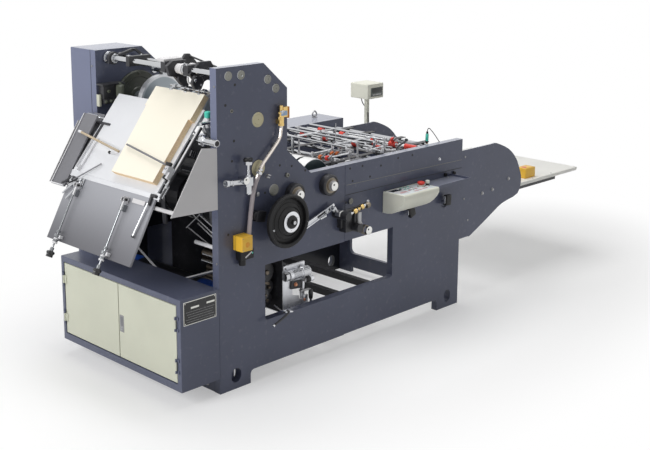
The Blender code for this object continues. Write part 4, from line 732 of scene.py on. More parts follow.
# %% Sucker carriage and rear arm
head.use(CHROME)
head.rod(P(0.096, 0.150, 1.366), P(0.096, 0.440, 1.372), 0.0055)
for y, r, wide in ((0.185, 0.013, 0.018), (0.225, 0.009, 0.026), (0.290, 0.014, 0.016), (0.330, 0.010, 0.024),
                   (0.395, 0.013, 0.020)):
    head.ring(P(0.096, y, 1.367 + 0.00002), Y, 0.0056, r, wide)
for y in (0.205, 0.300, 0.405):
    head.slab(P(0.080, y, 1.347), (0.016, 0.022, 0.040), (1, 0, 0.4), (-0.4, 0, 1), 0.002)
    head.turned([(0, 0.004), (0.020, 0.004), (0.022, 0.0085), (0.027, 0.0095), (0.027, 0)],
                P(0.074, y, 1.330), (-0.45, 0, -0.75), 14)
head.use(GUARD)
head.bent([P(0.105, 0.240, 1.372), P(0.080, 0.250, 1.395), P(0.060, 0.262, 1.404), P(0.055, 0.262, 1.430)], 0.0045)
head.bent([P(0.100, 0.350, 1.376), P(0.075, 0.352, 1.350), P(0.060, 0.356, 1.325)], 0.004)
head.use(BLACK_PAINT)
head.plate([(0.222, 1.478), (0.240, 1.4985), (0.262, 1.4985), (0.322, 1.436), (0.316, 1.405), (0.288, 1.408)],
           P(0, 0.520, 0), X, Z, 0.018)
head.rod(P(0.262, 0.506, 1.488), P(0.335, 0.390, 1.438), 0.0045)
head.ring(P(0.302, 0.530, 1.424), -Y, 0.0142, 0.024, 0.034)
for y in (0.200, 0.760):
    head.slab(P(0.327, y, 1.401), (0.092, 0.031, 0.034), (0.74, 0, -0.68), (0.68, 0, 0.74), 0.003)
head.use(CHROME)
for y in (0.205, 0.755):
    head.cap_bolt(P(0.327 + 0.0115, y, 1.401 + 0.0125), (0.68, 0, 0.74), 0.006)
head.done("head_fittings", "black_steel")

# %% [markdown]
# ## The far plate behind the stack
# The suction disc turns in front of a dark olive cover, and a small screw unit sets the far side stop. The knurl on
# its screw is real relief: a turned shape with many small lobes.

# %% Far plate fittings
OLIVE = painted("olive_cover_paint", (0.030, 0.034, 0.022), 0.34, 0.25, dusty=0.10)
OLIVE_LIGHT = painted("grey_green_paint", (0.085, 0.095, 0.070), 0.40, 0.20, dusty=0.20)
far_stop = Fitting(OLIVE)
far_stop.turned([(0, 0.131), (0.008, 0.131), (0.012, 0.126), (0.012, 0.100), (0.009, 0.096), (0.009, 0.050),
                 (0.014, 0.046), (0.014, 0)], P(0.245, 0.904, 1.250), -Y, 56)
for k in range(8):
    t = 2 * math.pi * k / 8
    far_stop.cap_bolt(P(0.245 + 0.114 * math.cos(t), 0.892, 1.250 + 0.114 * math.sin(t)), -Y, 0.005)
far_stop.use(BLACK_PAINT)
far_stop.block(P(0.012, 0.862, 1.262), P(0.104, 0.904, 1.330), 0.002)
far_stop.block(P(0.000, 0.850, 1.330), P(0.132, 0.904, 1.338), 0.001)
far_stop.block(P(0.016, 0.858, 1.238), P(0.074, 0.904, 1.262), 0.002)
far_stop.use(OLIVE_LIGHT)
far_stop.turned([(0, 0.017), (0.003, 0.020), (0.052, 0.020), (0.056, 0.017), (0.056, 0.009), (0.066, 0.009),
                 (0.067, 0)], P(0.103, 0.856, 1.272), Z, 48, lobes=24, wave=0.035)
for x in (0.022, 0.050, 0.074):
    far_stop.hex_bolt(P(x, 0.857, 1.250), -Y, 0.0075)
far_stop.cap_bolt(P(0.040, 0.861, 1.300), -Y, 0.008)
far_stop.use(CREAM)
far_stop.block(P(-0.002, 0.880, 1.226), P(0.010, 0.904, 1.284), 0.001)
far_stop.use(BLACK_PAINT)
far_stop.slab(P(-0.050, 0.80, 1.163), (0.012, 0.150, 0.010), (0.6, 0, 0.8), (-0.8, 0, 0.6), 0.001)
far_stop.slab(P(-0.076, 0.78, 1.128), (0.085, 0.016, 0.014), (0.6344, 0, 0.773), (-0.773, 0, 0.6344), 0.002)
far_stop.done("far_stop_fittings", "dark_sheet")

# %% [markdown]
# ## Rods, stops and screws on the feeder boards
# The board and the tray lean at their own angles, so places on them are easier to give along the slope, across the
# machine and up from the sheet. One small class holds such a slope and turns its numbers into points.

# %% Two slopes
class Slope:
    """A leaning sheet: on(along, across, lift) gives a point on or above it."""

    def __init__(self, top, low):
        self.top = P(top[0], 0, top[1])
        self.down = (P(low[0], 0, low[1]) - self.top).normalized()
        self.out = Vector((self.down.z, 0, -self.down.x))

    def on(self, along, y, lift=0.0):
        return self.top + self.down * along + self.out * lift + Y * y


BOARD = Slope((0.058, 1.295), (-0.221, 0.955))
TRAY = Slope((-0.2265, 0.938), (-0.375, 0.659))
SIDE = Slope((-0.065, 1.200), (-0.269, 0.884))
print("board slopes down by", round(math.degrees(math.asin(-BOARD.down.z)), 1), "degrees")

# %% Rods on the board
TAN = painted("tan_bar_paint", (0.46, 0.37, 0.25), 0.36, 0.10, dusty=0.10)
WHITE_METAL = painted("pale_metal_paint", (0.72, 0.72, 0.74), 0.34, 0.03, dusty=0.03)
rods = Fitting(TAN)
rods.rod(BOARD.on(0.252, 0.860, 0.030), BOARD.on(0.303, 0.502, 0.036), 0.0058)
rods.use(WHITE_METAL)
rods.rod(BOARD.on(0.249, 0.883, 0.030), BOARD.on(0.252, 0.858, 0.030), 0.0068)
rods.bent([BOARD.on(0.302, 0.505, 0.034), BOARD.on(0.311, 0.520, 0.028), BOARD.on(0.314, 0.550, 0.022),
           BOARD.on(0.311, 0.592, 0.018)], 0.0022)
rods.use(BLACK)
rods.turned([(0, 0.003), (0.002, 0.0068), (0.007, 0.0076), (0.012, 0.0060), (0.014, 0)],
            BOARD.on(0.312, 0.588, 0.012), BOARD.out, 16)
rods.use(DARK_SHEET)
rods.rod(BOARD.on(0.261, 0.472, 0.040), BOARD.on(0.311, 0.138, 0.040), 0.0046)
rods.rod(BOARD.on(0.372, 0.609, 0.010), BOARD.on(0.486, 0.735, 0.014), 0.0032)
rods.use(WHITE_METAL)
rods.slab(BOARD.on(0.330, 0.128, 0.020), (0.042, 0.024, 0.044), BOARD.down, BOARD.out, 0.003)
rods.slab(BOARD.on(0.352, 0.112, 0.016), (0.030, 0.014, 0.030), BOARD.down, BOARD.out, 0.002)
rods.use(BLACK)
rods.slab(BOARD.on(0.306, 0.122, 0.044), (0.016, 0.036, 0.012), BOARD.down, BOARD.out, 0.003)
rods.slab(BOARD.on(0.360, 0.134, 0.016), (0.018, 0.014, 0.022), BOARD.down, BOARD.out, 0.004)
rods.use(CHROME)
rods.cap_bolt(BOARD.on(0.330, 0.128, 0.042), BOARD.out, 0.006)
for y in (0.778, 0.742):
    rods.use(WHITE_METAL)
    rods.slab(BOARD.on(0.335, y, 0.006), (0.165, 0.0025, 0.012), BOARD.down, BOARD.out, 0.0006)
rods.slab(BOARD.on(0.420, 0.745, 0.012), (0.030, 0.003, 0.018), BOARD.down, BOARD.out, 0.001)
rods.done("board_rods", "chrome_bar")

# %% Slide on the board's near edge
slide = Fitting(BLACK_PAINT)
slide.slab(BOARD.on(0.280, 0.098, 0.006), (0.380, 0.007, 0.010), BOARD.down, BOARD.out, 0.001)
slide.use(SHEET)
slide.slab(BOARD.on(0.290, 0.109, 0.003), (0.360, 0.010, 0.005), BOARD.down, BOARD.out, 0.001)
slide.use(BLACK_PAINT)
slide.slab(BOARD.on(0.425, 0.091, 0.013), (0.060, 0.016, 0.004), BOARD.down, BOARD.out, 0.001)
slide.use(CHROME)
slide.slab(BOARD.on(0.425, 0.0815, 0.013), (0.062, 0.003, 0.006), BOARD.down, BOARD.out, 0.001)
slide.slab(BOARD.on(0.425, 0.1005, 0.013), (0.062, 0.003, 0.006), BOARD.down, BOARD.out, 0.001)
slide.hex_bolt(BOARD.on(0.402, 0.092, 0.0155), BOARD.out, 0.0055)
slide.wing_nut(BOARD.on(0.392, 0.092, 0.017), BOARD.out, 0.026, BOARD.down)
slide.done("board_slide", "black_steel")

# %% Tray fittings
tray = Fitting(BLACK_PAINT)
for y in (0.325, 0.700):
    tray.use(WHITE_METAL)
    for side in (-1, 1):
        tray.plate([(-0.016, 0.0), (0.014, 0.0), (0.014, 0.016), (0.006, 0.030), (-0.008, 0.030), (-0.016, 0.016)],
                   TRAY.on(0.045, y + side * 0.009 + 0.0015, 0.001), TRAY.down, TRAY.out, 0.003)
    tray.rod(TRAY.on(0.052, y, 0.020), TRAY.on(0.092, y, 0.020), 0.0052)
    tray.use(BLACK)
    tray.rod(TRAY.on(0.043, y - 0.016, 0.019), TRAY.on(0.043, y + 0.016, 0.019), 0.0062)
tray.use(BLACK_PAINT)
tray.slab(TRAY.on(0.012, 0.168, 0.007), (0.052, 0.012, 0.012), TRAY.down, TRAY.out, 0.002)
tray.slab(TRAY.on(-0.008, 0.155, 0.008), (0.014, 0.036, 0.014), TRAY.down, TRAY.out, 0.002)
tray.use(GUARD)
tray.slab(TRAY.on(0.036, 0.245, 0.003), (0.020, 0.090, 0.004), TRAY.down, TRAY.out, 0.001)
tray.use(CHROME)
tray.rod(TRAY.on(0.030, 0.172, 0.012), TRAY.on(0.187, 0.192, 0.010), 0.0050)
tray.use(BLACK_PAINT)
tray.rod(TRAY.on(0.184, 0.1915, 0.0102), TRAY.on(0.192, 0.1925, 0.0100), 0.0064)
tray.done("tray_stops", "chrome_bar")

# %% [markdown]
# ## Fittings of the near side plate
# The plate is bored for every shaft. Each bush ends in a dull face with a fine turned groove, and small tapped holes
# lie between them. A tapped hole is made as a thin dark plug with a lip, because the plate itself is never cut here.

# %% Bush faces and tapped holes
BUSH = metal("dull_bush_metal", (0.24, 0.24, 0.22), 0.52, (1.0, 1.0, 1.0), 120.0, 0.12, 0.00002, 0.30)
BUSH_BRASS = metal("dull_brass_bush", (0.36, 0.335, 0.235), 0.50, (1.0, 1.0, 1.0), 120.0, 0.12, 0.00002, 0.30)
HOLE = painted("dark_hole", (0.008, 0.008, 0.010), 0.6, 0.1, dusty=0.0)


def bush_face(fit, x, z, r, y, out, pin=0.0035, paint=None):
    """The dull end of a bush: a rim, a groove, a flat and a centre dimple."""
    fit.use(paint or BUSH)
    fit.turned([(0, r), (0.0014, r), (0.0018, r * 0.96), (0.0018, r * 0.74), (0.0010, r * 0.71),
                (0.0010, r * 0.66), (0.0018, r * 0.63), (0.0018, pin), (0.0004, pin * 0.9), (0.0004, 0)],
               P(x, y, z), out, 32)


def tapped_hole(fit, x, z, y=0.0, out=None, r=0.0048):
    """A dark plug with a thin worn lip."""
    out = out or -Y
    fit.use(HOLE)
    fit.turned([(0, r), (0.0005, r), (0.0008, r * 0.9), (0.0008, r * 0.8), (0.0003, r * 0.7), (0.0003, 0)],
               P(x, y, z), out, 14)


bushes = Fitting(BUSH)
for x, z, r, pin, paint in ((0.069, 1.461, 0.0205, 0.002, BUSH), (0.143, 1.459, 0.0205, 0.003, BUSH),
                            (0.302, 1.424, 0.0205, 0.0048, BUSH), (0.352, 1.378, 0.0205, 0.0035, BUSH),
                            (0.240, 1.247, 0.0345, 0.0035, BUSH_BRASS), (0.240, 1.023, 0.0395, 0.006, BUSH_BRASS),
                            (0.338, 0.905, 0.0275, 0.005, BUSH)):
    bush_face(bushes, x, z, r, -0.0012, -Y, pin, paint)
bushes.use(CHROME)
bushes.cap_bolt(P(0.147, -0.0028, 1.455), -Y, 0.0035, 0.002)
for x, z in ((0.107, 1.419), (0.051, 1.334), (0.098, 1.169), (0.085, 1.079), (0.282, 0.901), (0.376, 1.015),
             (0.452, 1.000), (0.541, 0.965), (0.853, 0.924), (0.943, 0.923), (1.082, 0.903), (1.215, 0.922),
             (1.330, 0.921), (0.871, 0.858), (1.000, 0.859), (0.058, 0.747), (0.826, 0.755)):
    tapped_hole(bushes, x, z, r=0.0060 if x > 0.8 or z < 1.1 else 0.0066)
bushes.use(BUSH)
bushes.ring(P(0.087, 0.0, 1.304), -Y, 0.005, 0.0085, 0.0012)
tapped_hole(bushes, 0.087, 1.304, r=0.0045)
bushes.use(BUSH)
bushes.cap_bolt(P(0.420, 0.0, 0.962), -Y, 0.0105, 0.010)
bushes.use(CHROME)
bushes.hex_bolt(P(1.555, 0.0, 0.864), -Y, 0.0075)
bushes.done("plate_bushes", "turned_steel")

# %% Weld seam of the bed rail, and a painted shadow under its lower edge
seam = Fitting(SLATE)
seam.use(BUSH)
seam.bent([P(0.826, -0.0004, 0.8440), P(1.100, -0.0004, 0.8400), P(1.755, -0.0004, 0.8305)], 0.0011, 6, 0)
# painted shadow: a dark line along the rail's lower edge, where the proud rail shades the plate below
seam.use(HOLE)
seam.bent([P(0.822, -0.0006, 0.7935), P(1.100, -0.0006, 0.7925), P(1.755, -0.0006, 0.7860)], 0.0014, 6, 0)
seam.use(SLATE)
seam.bent([P(0.8175, -0.0006, 0.947), P(0.8175, -0.0006, 0.800), P(0.8175, -0.0006, 0.560)], 0.0013, 6, 0)
seam.done("rail_seams_and_painted_shadow", "slate_paint")

# %% [markdown]
# ## The hand wheel
# The wheel is one turned solid, so the dressing is what is set into it: a bright ring round a black centre, the
# bright end of the shaft, fine grooves and the bolt of a folding grip. They ride on the wheel and turn with it.

# %% Wheel dressing
WHEEL_AT = (0.350, 0.770)
wheel = Fitting(SHEET)
wheel.ring(P(WHEEL_AT[0], -0.1062, WHEEL_AT[1]), -Y, 0.0305, 0.0492, 0.0026, 0.0006, 48)
wheel.use(CHROME)
wheel.turned([(0, 0.0085), (0.002, 0.0085), (0.003, 0.0072), (0.003, 0.003), (0.0015, 0.0025), (0.0015, 0)],
             P(WHEEL_AT[0], -0.1265, WHEEL_AT[1]), -Y, 24)
wheel.cap_bolt(P(WHEEL_AT[0] - 0.092, -0.0810, WHEEL_AT[1] - 0.028), -Y, 0.0052, 0.006)
for k in range(3):
    t = 2.094 * k + 0.4
    wheel.cap_bolt(P(WHEEL_AT[0] + 0.0395 * math.cos(t), -0.1086, WHEEL_AT[1] + 0.0395 * math.sin(t)), -Y, 0.0032,
                   0.0012)
wheel.use(BLACK)
for r, y in ((0.070, -0.0952), (0.088, -0.0850)):
    wheel.ring(P(WHEEL_AT[0], y + 0.003, WHEEL_AT[1]), -Y, r - 0.0016, r + 0.0016, 0.0040, 0.0012, 48)
wheel.done("wheel_dressing", "chrome_bar", "wheel")

# %% Black lugs behind the wheel
lugs = Fitting(BLACK_PAINT)
lugs.slab(P(0.235, -0.014, 0.802), (0.060, 0.028, 0.052), (1, 0, -0.25), Z, 0.008)
lugs.turned([(0, 0.019), (0.004, 0.021), (0.020, 0.021), (0.024, 0.018), (0.024, 0)], P(0.214, -0.0005, 0.808), -Y,
            22)
lugs.turned([(0, 0.030), (0.018, 0.030), (0.022, 0.026), (0.022, 0)], P(0.432, -0.0005, 0.664), -Y, 30, lobes=15,
            wave=0.05)
lugs.slab(P(0.400, -0.012, 0.690), (0.080, 0.024, 0.030), (1, 0, -0.8), Z, 0.005)
lugs.use(BRASS)
lugs.cap_bolt(P(0.432, -0.0225, 0.664), -Y, 0.010, 0.006)
lugs.done("wheel_lugs", "black_steel")

# %% [markdown]
# ## Hubs, levers and clamps on the near plate
# Each adjusting hub is a dark cup with a bronze ring, a steel neck and a bright pierced face. The same function
# dresses all of them, with a place, a radius and the reach of the neck.

# %% Adjusting hubs
FACE_STEEL = metal("bright_turned_face", (0.74, 0.74, 0.72), 0.30, (1.0, 1.0, 1.0), 150.0, 0.14, 0.00002, 0.15)
BRONZE = metal("old_bronze", (0.24, 0.21, 0.17), 0.42, (1.0, 1.0, 1.0), 90.0, 0.16, 0.00003, 0.35)


def hub_face(fit, x, z, y, r):
    """A bright end face with an off-centre key hole."""
    fit.use(FACE_STEEL)
    fit.turned([(0, r), (0.0016, r), (0.0024, r * 0.93), (0.0024, r * 0.4), (0.0018, r * 0.36), (0.0018, 0)],
               P(x, y, z), -Y, 28)
    fit.use(HOLE)
    fit.turned([(0, r * 0.24), (0.0008, r * 0.22), (0.0008, 0)], P(x - r * 0.30, y - 0.0023, z + r * 0.36), -Y, 12)


hubs = Fitting(BLACK_PAINT)
for x, z in ((0.456, 0.868), (0.684, 0.873)):
    hubs.use(BLACK_PAINT)
    hubs.ring(P(x, -0.0004, z), -Y, 0.0462, 0.0520, 0.0360, 0.003, 36)
    hubs.ring(P(x, -0.0335, z), -Y, 0.0400, 0.0500, 0.0045, 0.002, 36)
    hubs.use(BRONZE)
    hubs.ring(P(x, -0.0335, z), -Y, 0.0240, 0.0385, 0.0030, 0.001, 32)
    hubs.ring(P(x, -0.0360, z), -Y, 0.0240, 0.0290, 0.0060, 0.001, 32)
    hubs.use(TURNED)
    hubs.ring(P(x, -0.0410, z), -Y, 0.0236, 0.0260, 0.0080, 0.001, 28)
    hub_face(hubs, x, z, -0.0575, 0.0222)
hubs.done("hub_dressing", "black_steel")

# %% Slotted lever
lever = Fitting(SHEET)
ARM_A, ARM_B = P(0.470, -0.0235, 0.680), P(0.712, -0.0235, 0.7625)
arm = (ARM_B - ARM_A).normalized()
arm_up = -arm.cross(Y)
for shift in (-0.0112, 0.0112):
    lever.slab((ARM_A + ARM_B) / 2 + arm_up * shift, ((ARM_B - ARM_A).length, 0.0055, 0.0042), arm, arm_up, 0.0008)
lever.slab(ARM_B, (0.012, 0.0060, 0.0275), arm, arm_up, 0.002)
lever.use(HOLE)
lever.slab(ARM_A + arm * 0.178 + Y * 0.0018, (0.070, 0.0030, 0.0075), arm, arm_up, 0.0008)
lever.use(CHROME)
lever.hex_bolt(ARM_A + arm * 0.205 - Y * 0.002, -Y, 0.0095, 0.008)
lever.rod(ARM_A + arm * 0.150 - Y * 0.004 + arm_up * 0.012, ARM_A + arm * 0.190 - Y * 0.006 + arm_up * 0.016, 0.0052)
lever.bent([ARM_B + Y * 0.001, ARM_B - Y * 0.010 + arm_up * 0.006, ARM_B - Y * 0.016 + arm_up * 0.022], 0.0030)
lever.use(WHITE_METAL)
lever.turned([(0, 0.0040), (0.004, 0.0058), (0.010, 0.0058), (0.013, 0.003), (0.013, 0)],
             ARM_B - Y * 0.016 + arm_up * 0.018, arm_up, 14)
lever.use(TURNED)
lever.turned([(0, 0.0170), (0.002, 0.0185), (0.030, 0.0185), (0.032, 0.0170), (0.032, 0)],
             P(0.7395, -0.0220, 0.7215), -Y, 28)
hub_face(lever, 0.7395, 0.7215, -0.0538, 0.0190)
lever.done("lever_dressing", "chrome_bar")

# %% Gum height unit
unit = Fitting(CHROME)
low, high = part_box("gum_height_unit")
print("gum height unit from", [round(v, 3) for v in low - PLATE_ORIGIN], "to",
      [round(v, 3) for v in high - PLATE_ORIGIN])
start, end = P(0.757, -0.062, 0.7050), P(0.918, -0.062, 0.7480)
along = (end - start).normalized()
unit.rod(start, end, 0.0048)
for place, r, wide in ((0.004, 0.0075, 0.010), (0.030, 0.0095, 0.012), (0.060, 0.0125, 0.020), (0.090, 0.0100, 0.012),
                       (0.112, 0.0130, 0.018), (0.134, 0.0085, 0.010)):
    unit.use(BRASS if 0.05 < place < 0.12 else CHROME)
    unit.turned([(0, r * 0.8), (0.002, r), (wide - 0.002, r), (wide, r * 0.8)], start + along * place, along,
                6 if place in (0.030, 0.090) else 18)
unit.use(BRONZE)
unit.turned([(0, 0.012), (0.003, 0.0155), (0.018, 0.0165), (0.024, 0.012), (0.024, 0)], end - along * 0.014
            - Z * 0.008, along, 18, lobes=9, wave=0.05)
unit.use(WHITE_METAL)
unit.turned([(0, 0.004), (0.002, 0.007), (0.010, 0.007), (0.012, 0.004), (0.012, 0)], end + Z * 0.004, Z, 14)
unit.block(P(0.846, -0.0660, 0.650), P(0.868, -0.0585, 0.712), 0.0015)
unit.ring(P(0.860, -0.052, 0.650), -Y, 0.0090, 0.0155, 0.016, 0.003)
unit.block(P(0.850, -0.0640, 0.612), P(0.866, -0.0520, 0.636), 0.002)
hub_face(unit, 0.8975, 0.6160, -0.0905, 0.0215)
unit.use(BRONZE)
unit.ring(P(0.8975, -0.052, 0.6160), -Y, 0.0222, 0.0246, 0.022, 0.001, 28)
unit.use(BLACK_PAINT)
unit.block(P(0.776, -0.0460, 0.618), P(0.842, -0.0005, 0.700), 0.004)
unit.hex_bolt(P(0.792, -0.046, 0.682), -Y, 0.006)
unit.hex_bolt(P(0.826, -0.046, 0.634), -Y, 0.006)
bush_face(unit, 0.860, 0.7560, 0.0150, -0.0003, -Y, 0.003, BUSH)
unit.done("unit_dressing", "turned_steel")

# %% Clamp lever on the feed edge
clamp = Fitting(CHROME)
clamp.ring(P(0.020, -0.040, 0.9945) + X * 0.006, (-1, 0, 0.1), 0.0132, 0.0170, 0.014, 0.002)
clamp.ring(P(0.052, -0.040, 0.9915), (-1, 0, 0.1), 0.0132, 0.0155, 0.007, 0.001)
clamp.turned([(0, 0.0135), (0.004, 0.0165), (0.020, 0.0165), (0.022, 0.015), (0.022, 0)],
             P(0.1080, -0.050, 0.9980), -Y, 26)
hub_face(clamp, 0.1080, 0.9980, -0.0718, 0.0168)
for x in (0.1385, 0.1575):
    clamp.use(CHROME)
    clamp.rod(P(x, -0.041, 0.9700), P(x, -0.041, 0.9330), 0.0046)
    clamp.rod(P(x, -0.041, 0.9345), P(x, -0.041, 0.9290), 0.0062)
clamp.hex_bolt(P(0.145, -0.040, 1.004), Z, 0.0115, 0.010)
clamp.ring(P(0.145, -0.040, 1.030), Z, 0.0061, 0.0090, 0.006)
clamp.use(BLACK)
clamp.turned([(0, 0.0150), (0.003, 0.0215), (0.012, 0.0225), (0.018, 0.0150), (0.020, 0)], P(0.145, -0.040, 1.0745),
             Z, 40, lobes=4, wave=0.16)
clamp.done("clamp_dressing", "chrome_bar")

# %% Sleeve over the lower half of the air pipe
SLEEVE = moulded("mauve_grey_sleeve", (0.46, 0.41, 0.43), 0.26, 0.00002)
sleeve = Fitting(SLEEVE)
sleeve.bent([P(0.163, -0.020, 0.676), P(0.163, -0.020, 0.700), P(0.1661, -0.020, 0.752), P(0.1801, -0.021, 0.860),
             P(0.1976, -0.022, 0.945), P(0.2260, -0.0235, 1.006)], 0.0106, 16, 5)
sleeve.use(CHROME)
sleeve.hex_bolt(P(0.2235, -0.0233, 1.001), (0.44, -0.02, 0.90), 0.0150, 0.013, False)
sleeve.ring(P(0.2310, -0.0236, 1.017), (0.44, 0, 0.90), 0.0080, 0.0118, 0.009)
sleeve.ring(P(0.163, -0.020, 0.676), Z, 0.0100, 0.0125, 0.010)
sleeve.done("pipe_sleeve", "steel_pipe")

# %% [markdown]
# ## The cabinet
# Two cream doors close the electrical cabinet. A flush lock sits beside their seam, each hinge is a small zinc
# casting, and a black plate with a pale rim is riveted to the side. The plate is left without words: it has a rim,
# blank fields and engraved rules. The lock and the hinge pins ride on their doors.

# %% Door lock and hinges
ZINC = metal("zinc_casting", (0.34, 0.34, 0.35), 0.40, (1.0, 1.0, 1.0), 70.0, 0.16, 0.00002, 0.25)
DOOR_X = -0.2205
lock = Fitting(ZINC)
lock.slab(P(DOOR_X - 0.0004, 0.439, 0.2845), (0.0020, 0.031, 0.082), edge=0.0008)
lock.slab(P(DOOR_X - 0.0009, 0.439, 0.2600), (0.0018, 0.016, 0.026), edge=0.0007)
lock.use(DARK_SHEET)
lock.slab(P(DOOR_X - 0.0011, 0.439, 0.2960), (0.0014, 0.020, 0.044), edge=0.0006)
lock.use(CHROME)
lock.turned([(0, 0.0062), (0.0012, 0.0062), (0.0016, 0.0048), (0.0006, 0.0044), (0.0006, 0)],
            P(DOOR_X - 0.0016, 0.439, 0.2600), -X, 20)
lock.use(HOLE)
lock.slab(P(DOOR_X - 0.0024, 0.439, 0.2600), (0.0008, 0.0016, 0.0062), edge=0.0002)
lock.done("door_lock", "black_steel", "near_door")

for label, y, lean in (("near", 0.028, 1), ("far", 0.9120, -1)):
    pins = Fitting(ZINC)
    for z in (0.196, 0.392):
        pins.block(P(DOOR_X - 0.0022, y + (0.001 if lean > 0 else -0.013), z - 0.019),
                   P(DOOR_X - 0.0002, y + (0.013 if lean > 0 else -0.001), z + 0.019), 0.0007)
        for dz in (-0.011, 0.011):
            pins.cap_bolt(P(DOOR_X - 0.0021, y + lean * 0.0075, z + dz), -X, 0.0026, 0.0010)
    pins.done(f"hinge_leaves_{label}", "black_steel", f"{label}_door")

# %% Plate, rivets and louvres on the cabinet
PLAQUE = painted("black_plate_finish", (0.012, 0.012, 0.013), 0.30, 0.1, dusty=0.05)
RIM = metal("pale_plate_rim", (0.66, 0.66, 0.62), 0.36, (1.0, 1.0, 1.0), 60.0, 0.10)
low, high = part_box("cabinet")
side_y = low.y - PLATE_ORIGIN.y
print("cabinet from", [round(v, 3) for v in low - PLATE_ORIGIN], "to", [round(v, 3) for v in high - PLATE_ORIGIN])
plaque = Fitting(RIM)
plaque.slab(P(-0.112, side_y - 0.0008, 0.437), (0.186, 0.0016, 0.108), edge=0.0005)
plaque.use(PLAQUE)
plaque.slab(P(-0.112, side_y - 0.0012, 0.437), (0.180, 0.0014, 0.102), edge=0.0004)
plaque.use(RIM)
for x, z, wide in ((-0.141, 0.4590, 0.046), (-0.052, 0.4620, 0.046)):
    plaque.slab(P(x, side_y - 0.0020, z), (wide, 0.0008, 0.0085), edge=0.0002)
plaque.use(ZINC)
for k in range(5):
    plaque.slab(P(-0.112, side_y - 0.0019, 0.4420 - k * 0.0115), (0.160 - 0.012 * (k % 3), 0.0003, 0.0011),
                edge=0.0001)
plaque.use(RIM)
for dx in (-0.084, 0.084):
    for dz in (-0.046, 0.046):
        plaque.turned([(0, 0.0024), (0.0008, 0.0022), (0.0012, 0.0012), (0.0013, 0)],
                      P(-0.112 + dx, side_y - 0.0018, 0.437 + dz), -Y, 12)
plaque.done("side_plaque", "black_steel")

vents = Fitting(SLATE)
vent_y = high.y - PLATE_ORIGIN.y
for k in range(9):
    vents.slab(P(-0.115, vent_y + 0.0008, 0.300 + 0.016 * k), (0.120, 0.003, 0.0100), (1, 0, 0), (0, 0.45, 1), 0.0010)
for x in (-0.195, -0.035):
    for z in (0.105, 0.480):
        vents.use(ZINC)
        vents.cap_bolt(P(x, vent_y, z), Y, 0.006, 0.003)
vents.done("cabinet_vents", "slate_paint")

# %% [markdown]
# ## The console
# The console is a bent sheet box. Its top carries a tilted read-out, small coloured keys and a key switch, and the
# red mushroom button presses down. Symbols and words are left off the keys.

# %% Console keys and read-out
GREEN_KEY = moulded("green_key_plastic", (0.20, 0.50, 0.40), 0.36)
PINK_KEY = moulded("pale_red_key_plastic", (0.62, 0.32, 0.34), 0.36)
WHITE_KEY = moulded("white_key_plastic", (0.72, 0.74, 0.68), 0.34)
SCREEN = Paint("dark_display", (0.010, 0.014, 0.012), 0.12)
SCREEN.feed("Roughness", SCREEN.noise(40.0, 2.0) * 0.06 + 0.08)
TOP = 0.762
MEMBRANE = painted("pale_membrane", (0.80, 0.85, 0.86), 0.34, 0.02, 0.00001, dusty=0.02)
keys = Fitting(MEMBRANE)
keys.slab(P(1.2450, -0.068, TOP + 0.0010), (0.264, 0.120, 0.0012), z_dir=(0, 0.0142, 1), edge=0.0004)
keys.use(GUARD)
keys.slab(P(1.1570, -0.060, TOP + 0.0012), (0.076, 0.098, 0.0020), edge=0.0006)
keys.use(SCREEN)
keys.slab(P(1.1510, -0.034, TOP + 0.0022), (0.056, 0.032, 0.0016), edge=0.0005)
keys.use(HOLE)
keys.slab(P(1.1850, -0.044, TOP + 0.0035), (0.011, 0.011, 0.0060), edge=0.0010)
keys.use(PINK_KEY)
keys.slab(P(1.1640, -0.086, TOP + 0.0024), (0.050, 0.012, 0.0020), edge=0.0007)
for row, (y, paint) in enumerate(((-0.024, GREEN_KEY), (-0.052, GREEN_KEY), (-0.080, PINK_KEY))):
    for k in range(3):
        x = 1.214 + 0.026 * k
        keys.use(ZINC)
        keys.ring(P(x, y, TOP), Z, 0.0062, 0.0092, 0.0026, 0.0006, 22)
        keys.use(WHITE_KEY if (row + k) % 4 == 3 else paint)
        keys.turned([(0, 0.0060), (0.0046, 0.0060), (0.0054, 0.0050), (0.0054, 0)], P(x, y, TOP), Z, 20)
keys.use(PINK_KEY)
keys.slab(P(1.2520, -0.108, TOP + 0.0020), (0.060, 0.010, 0.0014), edge=0.0004)
keys.slab(P(1.3120, -0.104, TOP + 0.0020), (0.038, 0.010, 0.0014), edge=0.0004)
keys.use(ZINC)
keys.ring(P(1.330, -0.062, TOP + 0.0002), Z, 0.0185, 0.0215, 0.0030, 0.0008, 30)
keys.ring(P(1.3635, -0.078, TOP), Z, 0.0085, 0.0128, 0.0060, 0.001, 24)
keys.use(BLACK)
keys.turned([(0, 0.0090), (0.012, 0.0090), (0.013, 0.0080), (0.013, 0)], P(1.3635, -0.078, TOP + 0.004), Z, 22)
keys.use(WHITE_KEY)
keys.turned([(0, 0.0105), (0.002, 0.0118), (0.012, 0.0118), (0.016, 0.0090), (0.018, 0)],
            P(1.3635, -0.078, TOP + 0.0155), Z, 24)
keys.use(ZINC)
for x in (1.112, 1.378):
    for y in (-0.008, -0.134):
        keys.cap_bolt(P(x, y, TOP), Z, 0.0026, 0.0016)
keys.done("console_keys", "console_cream")

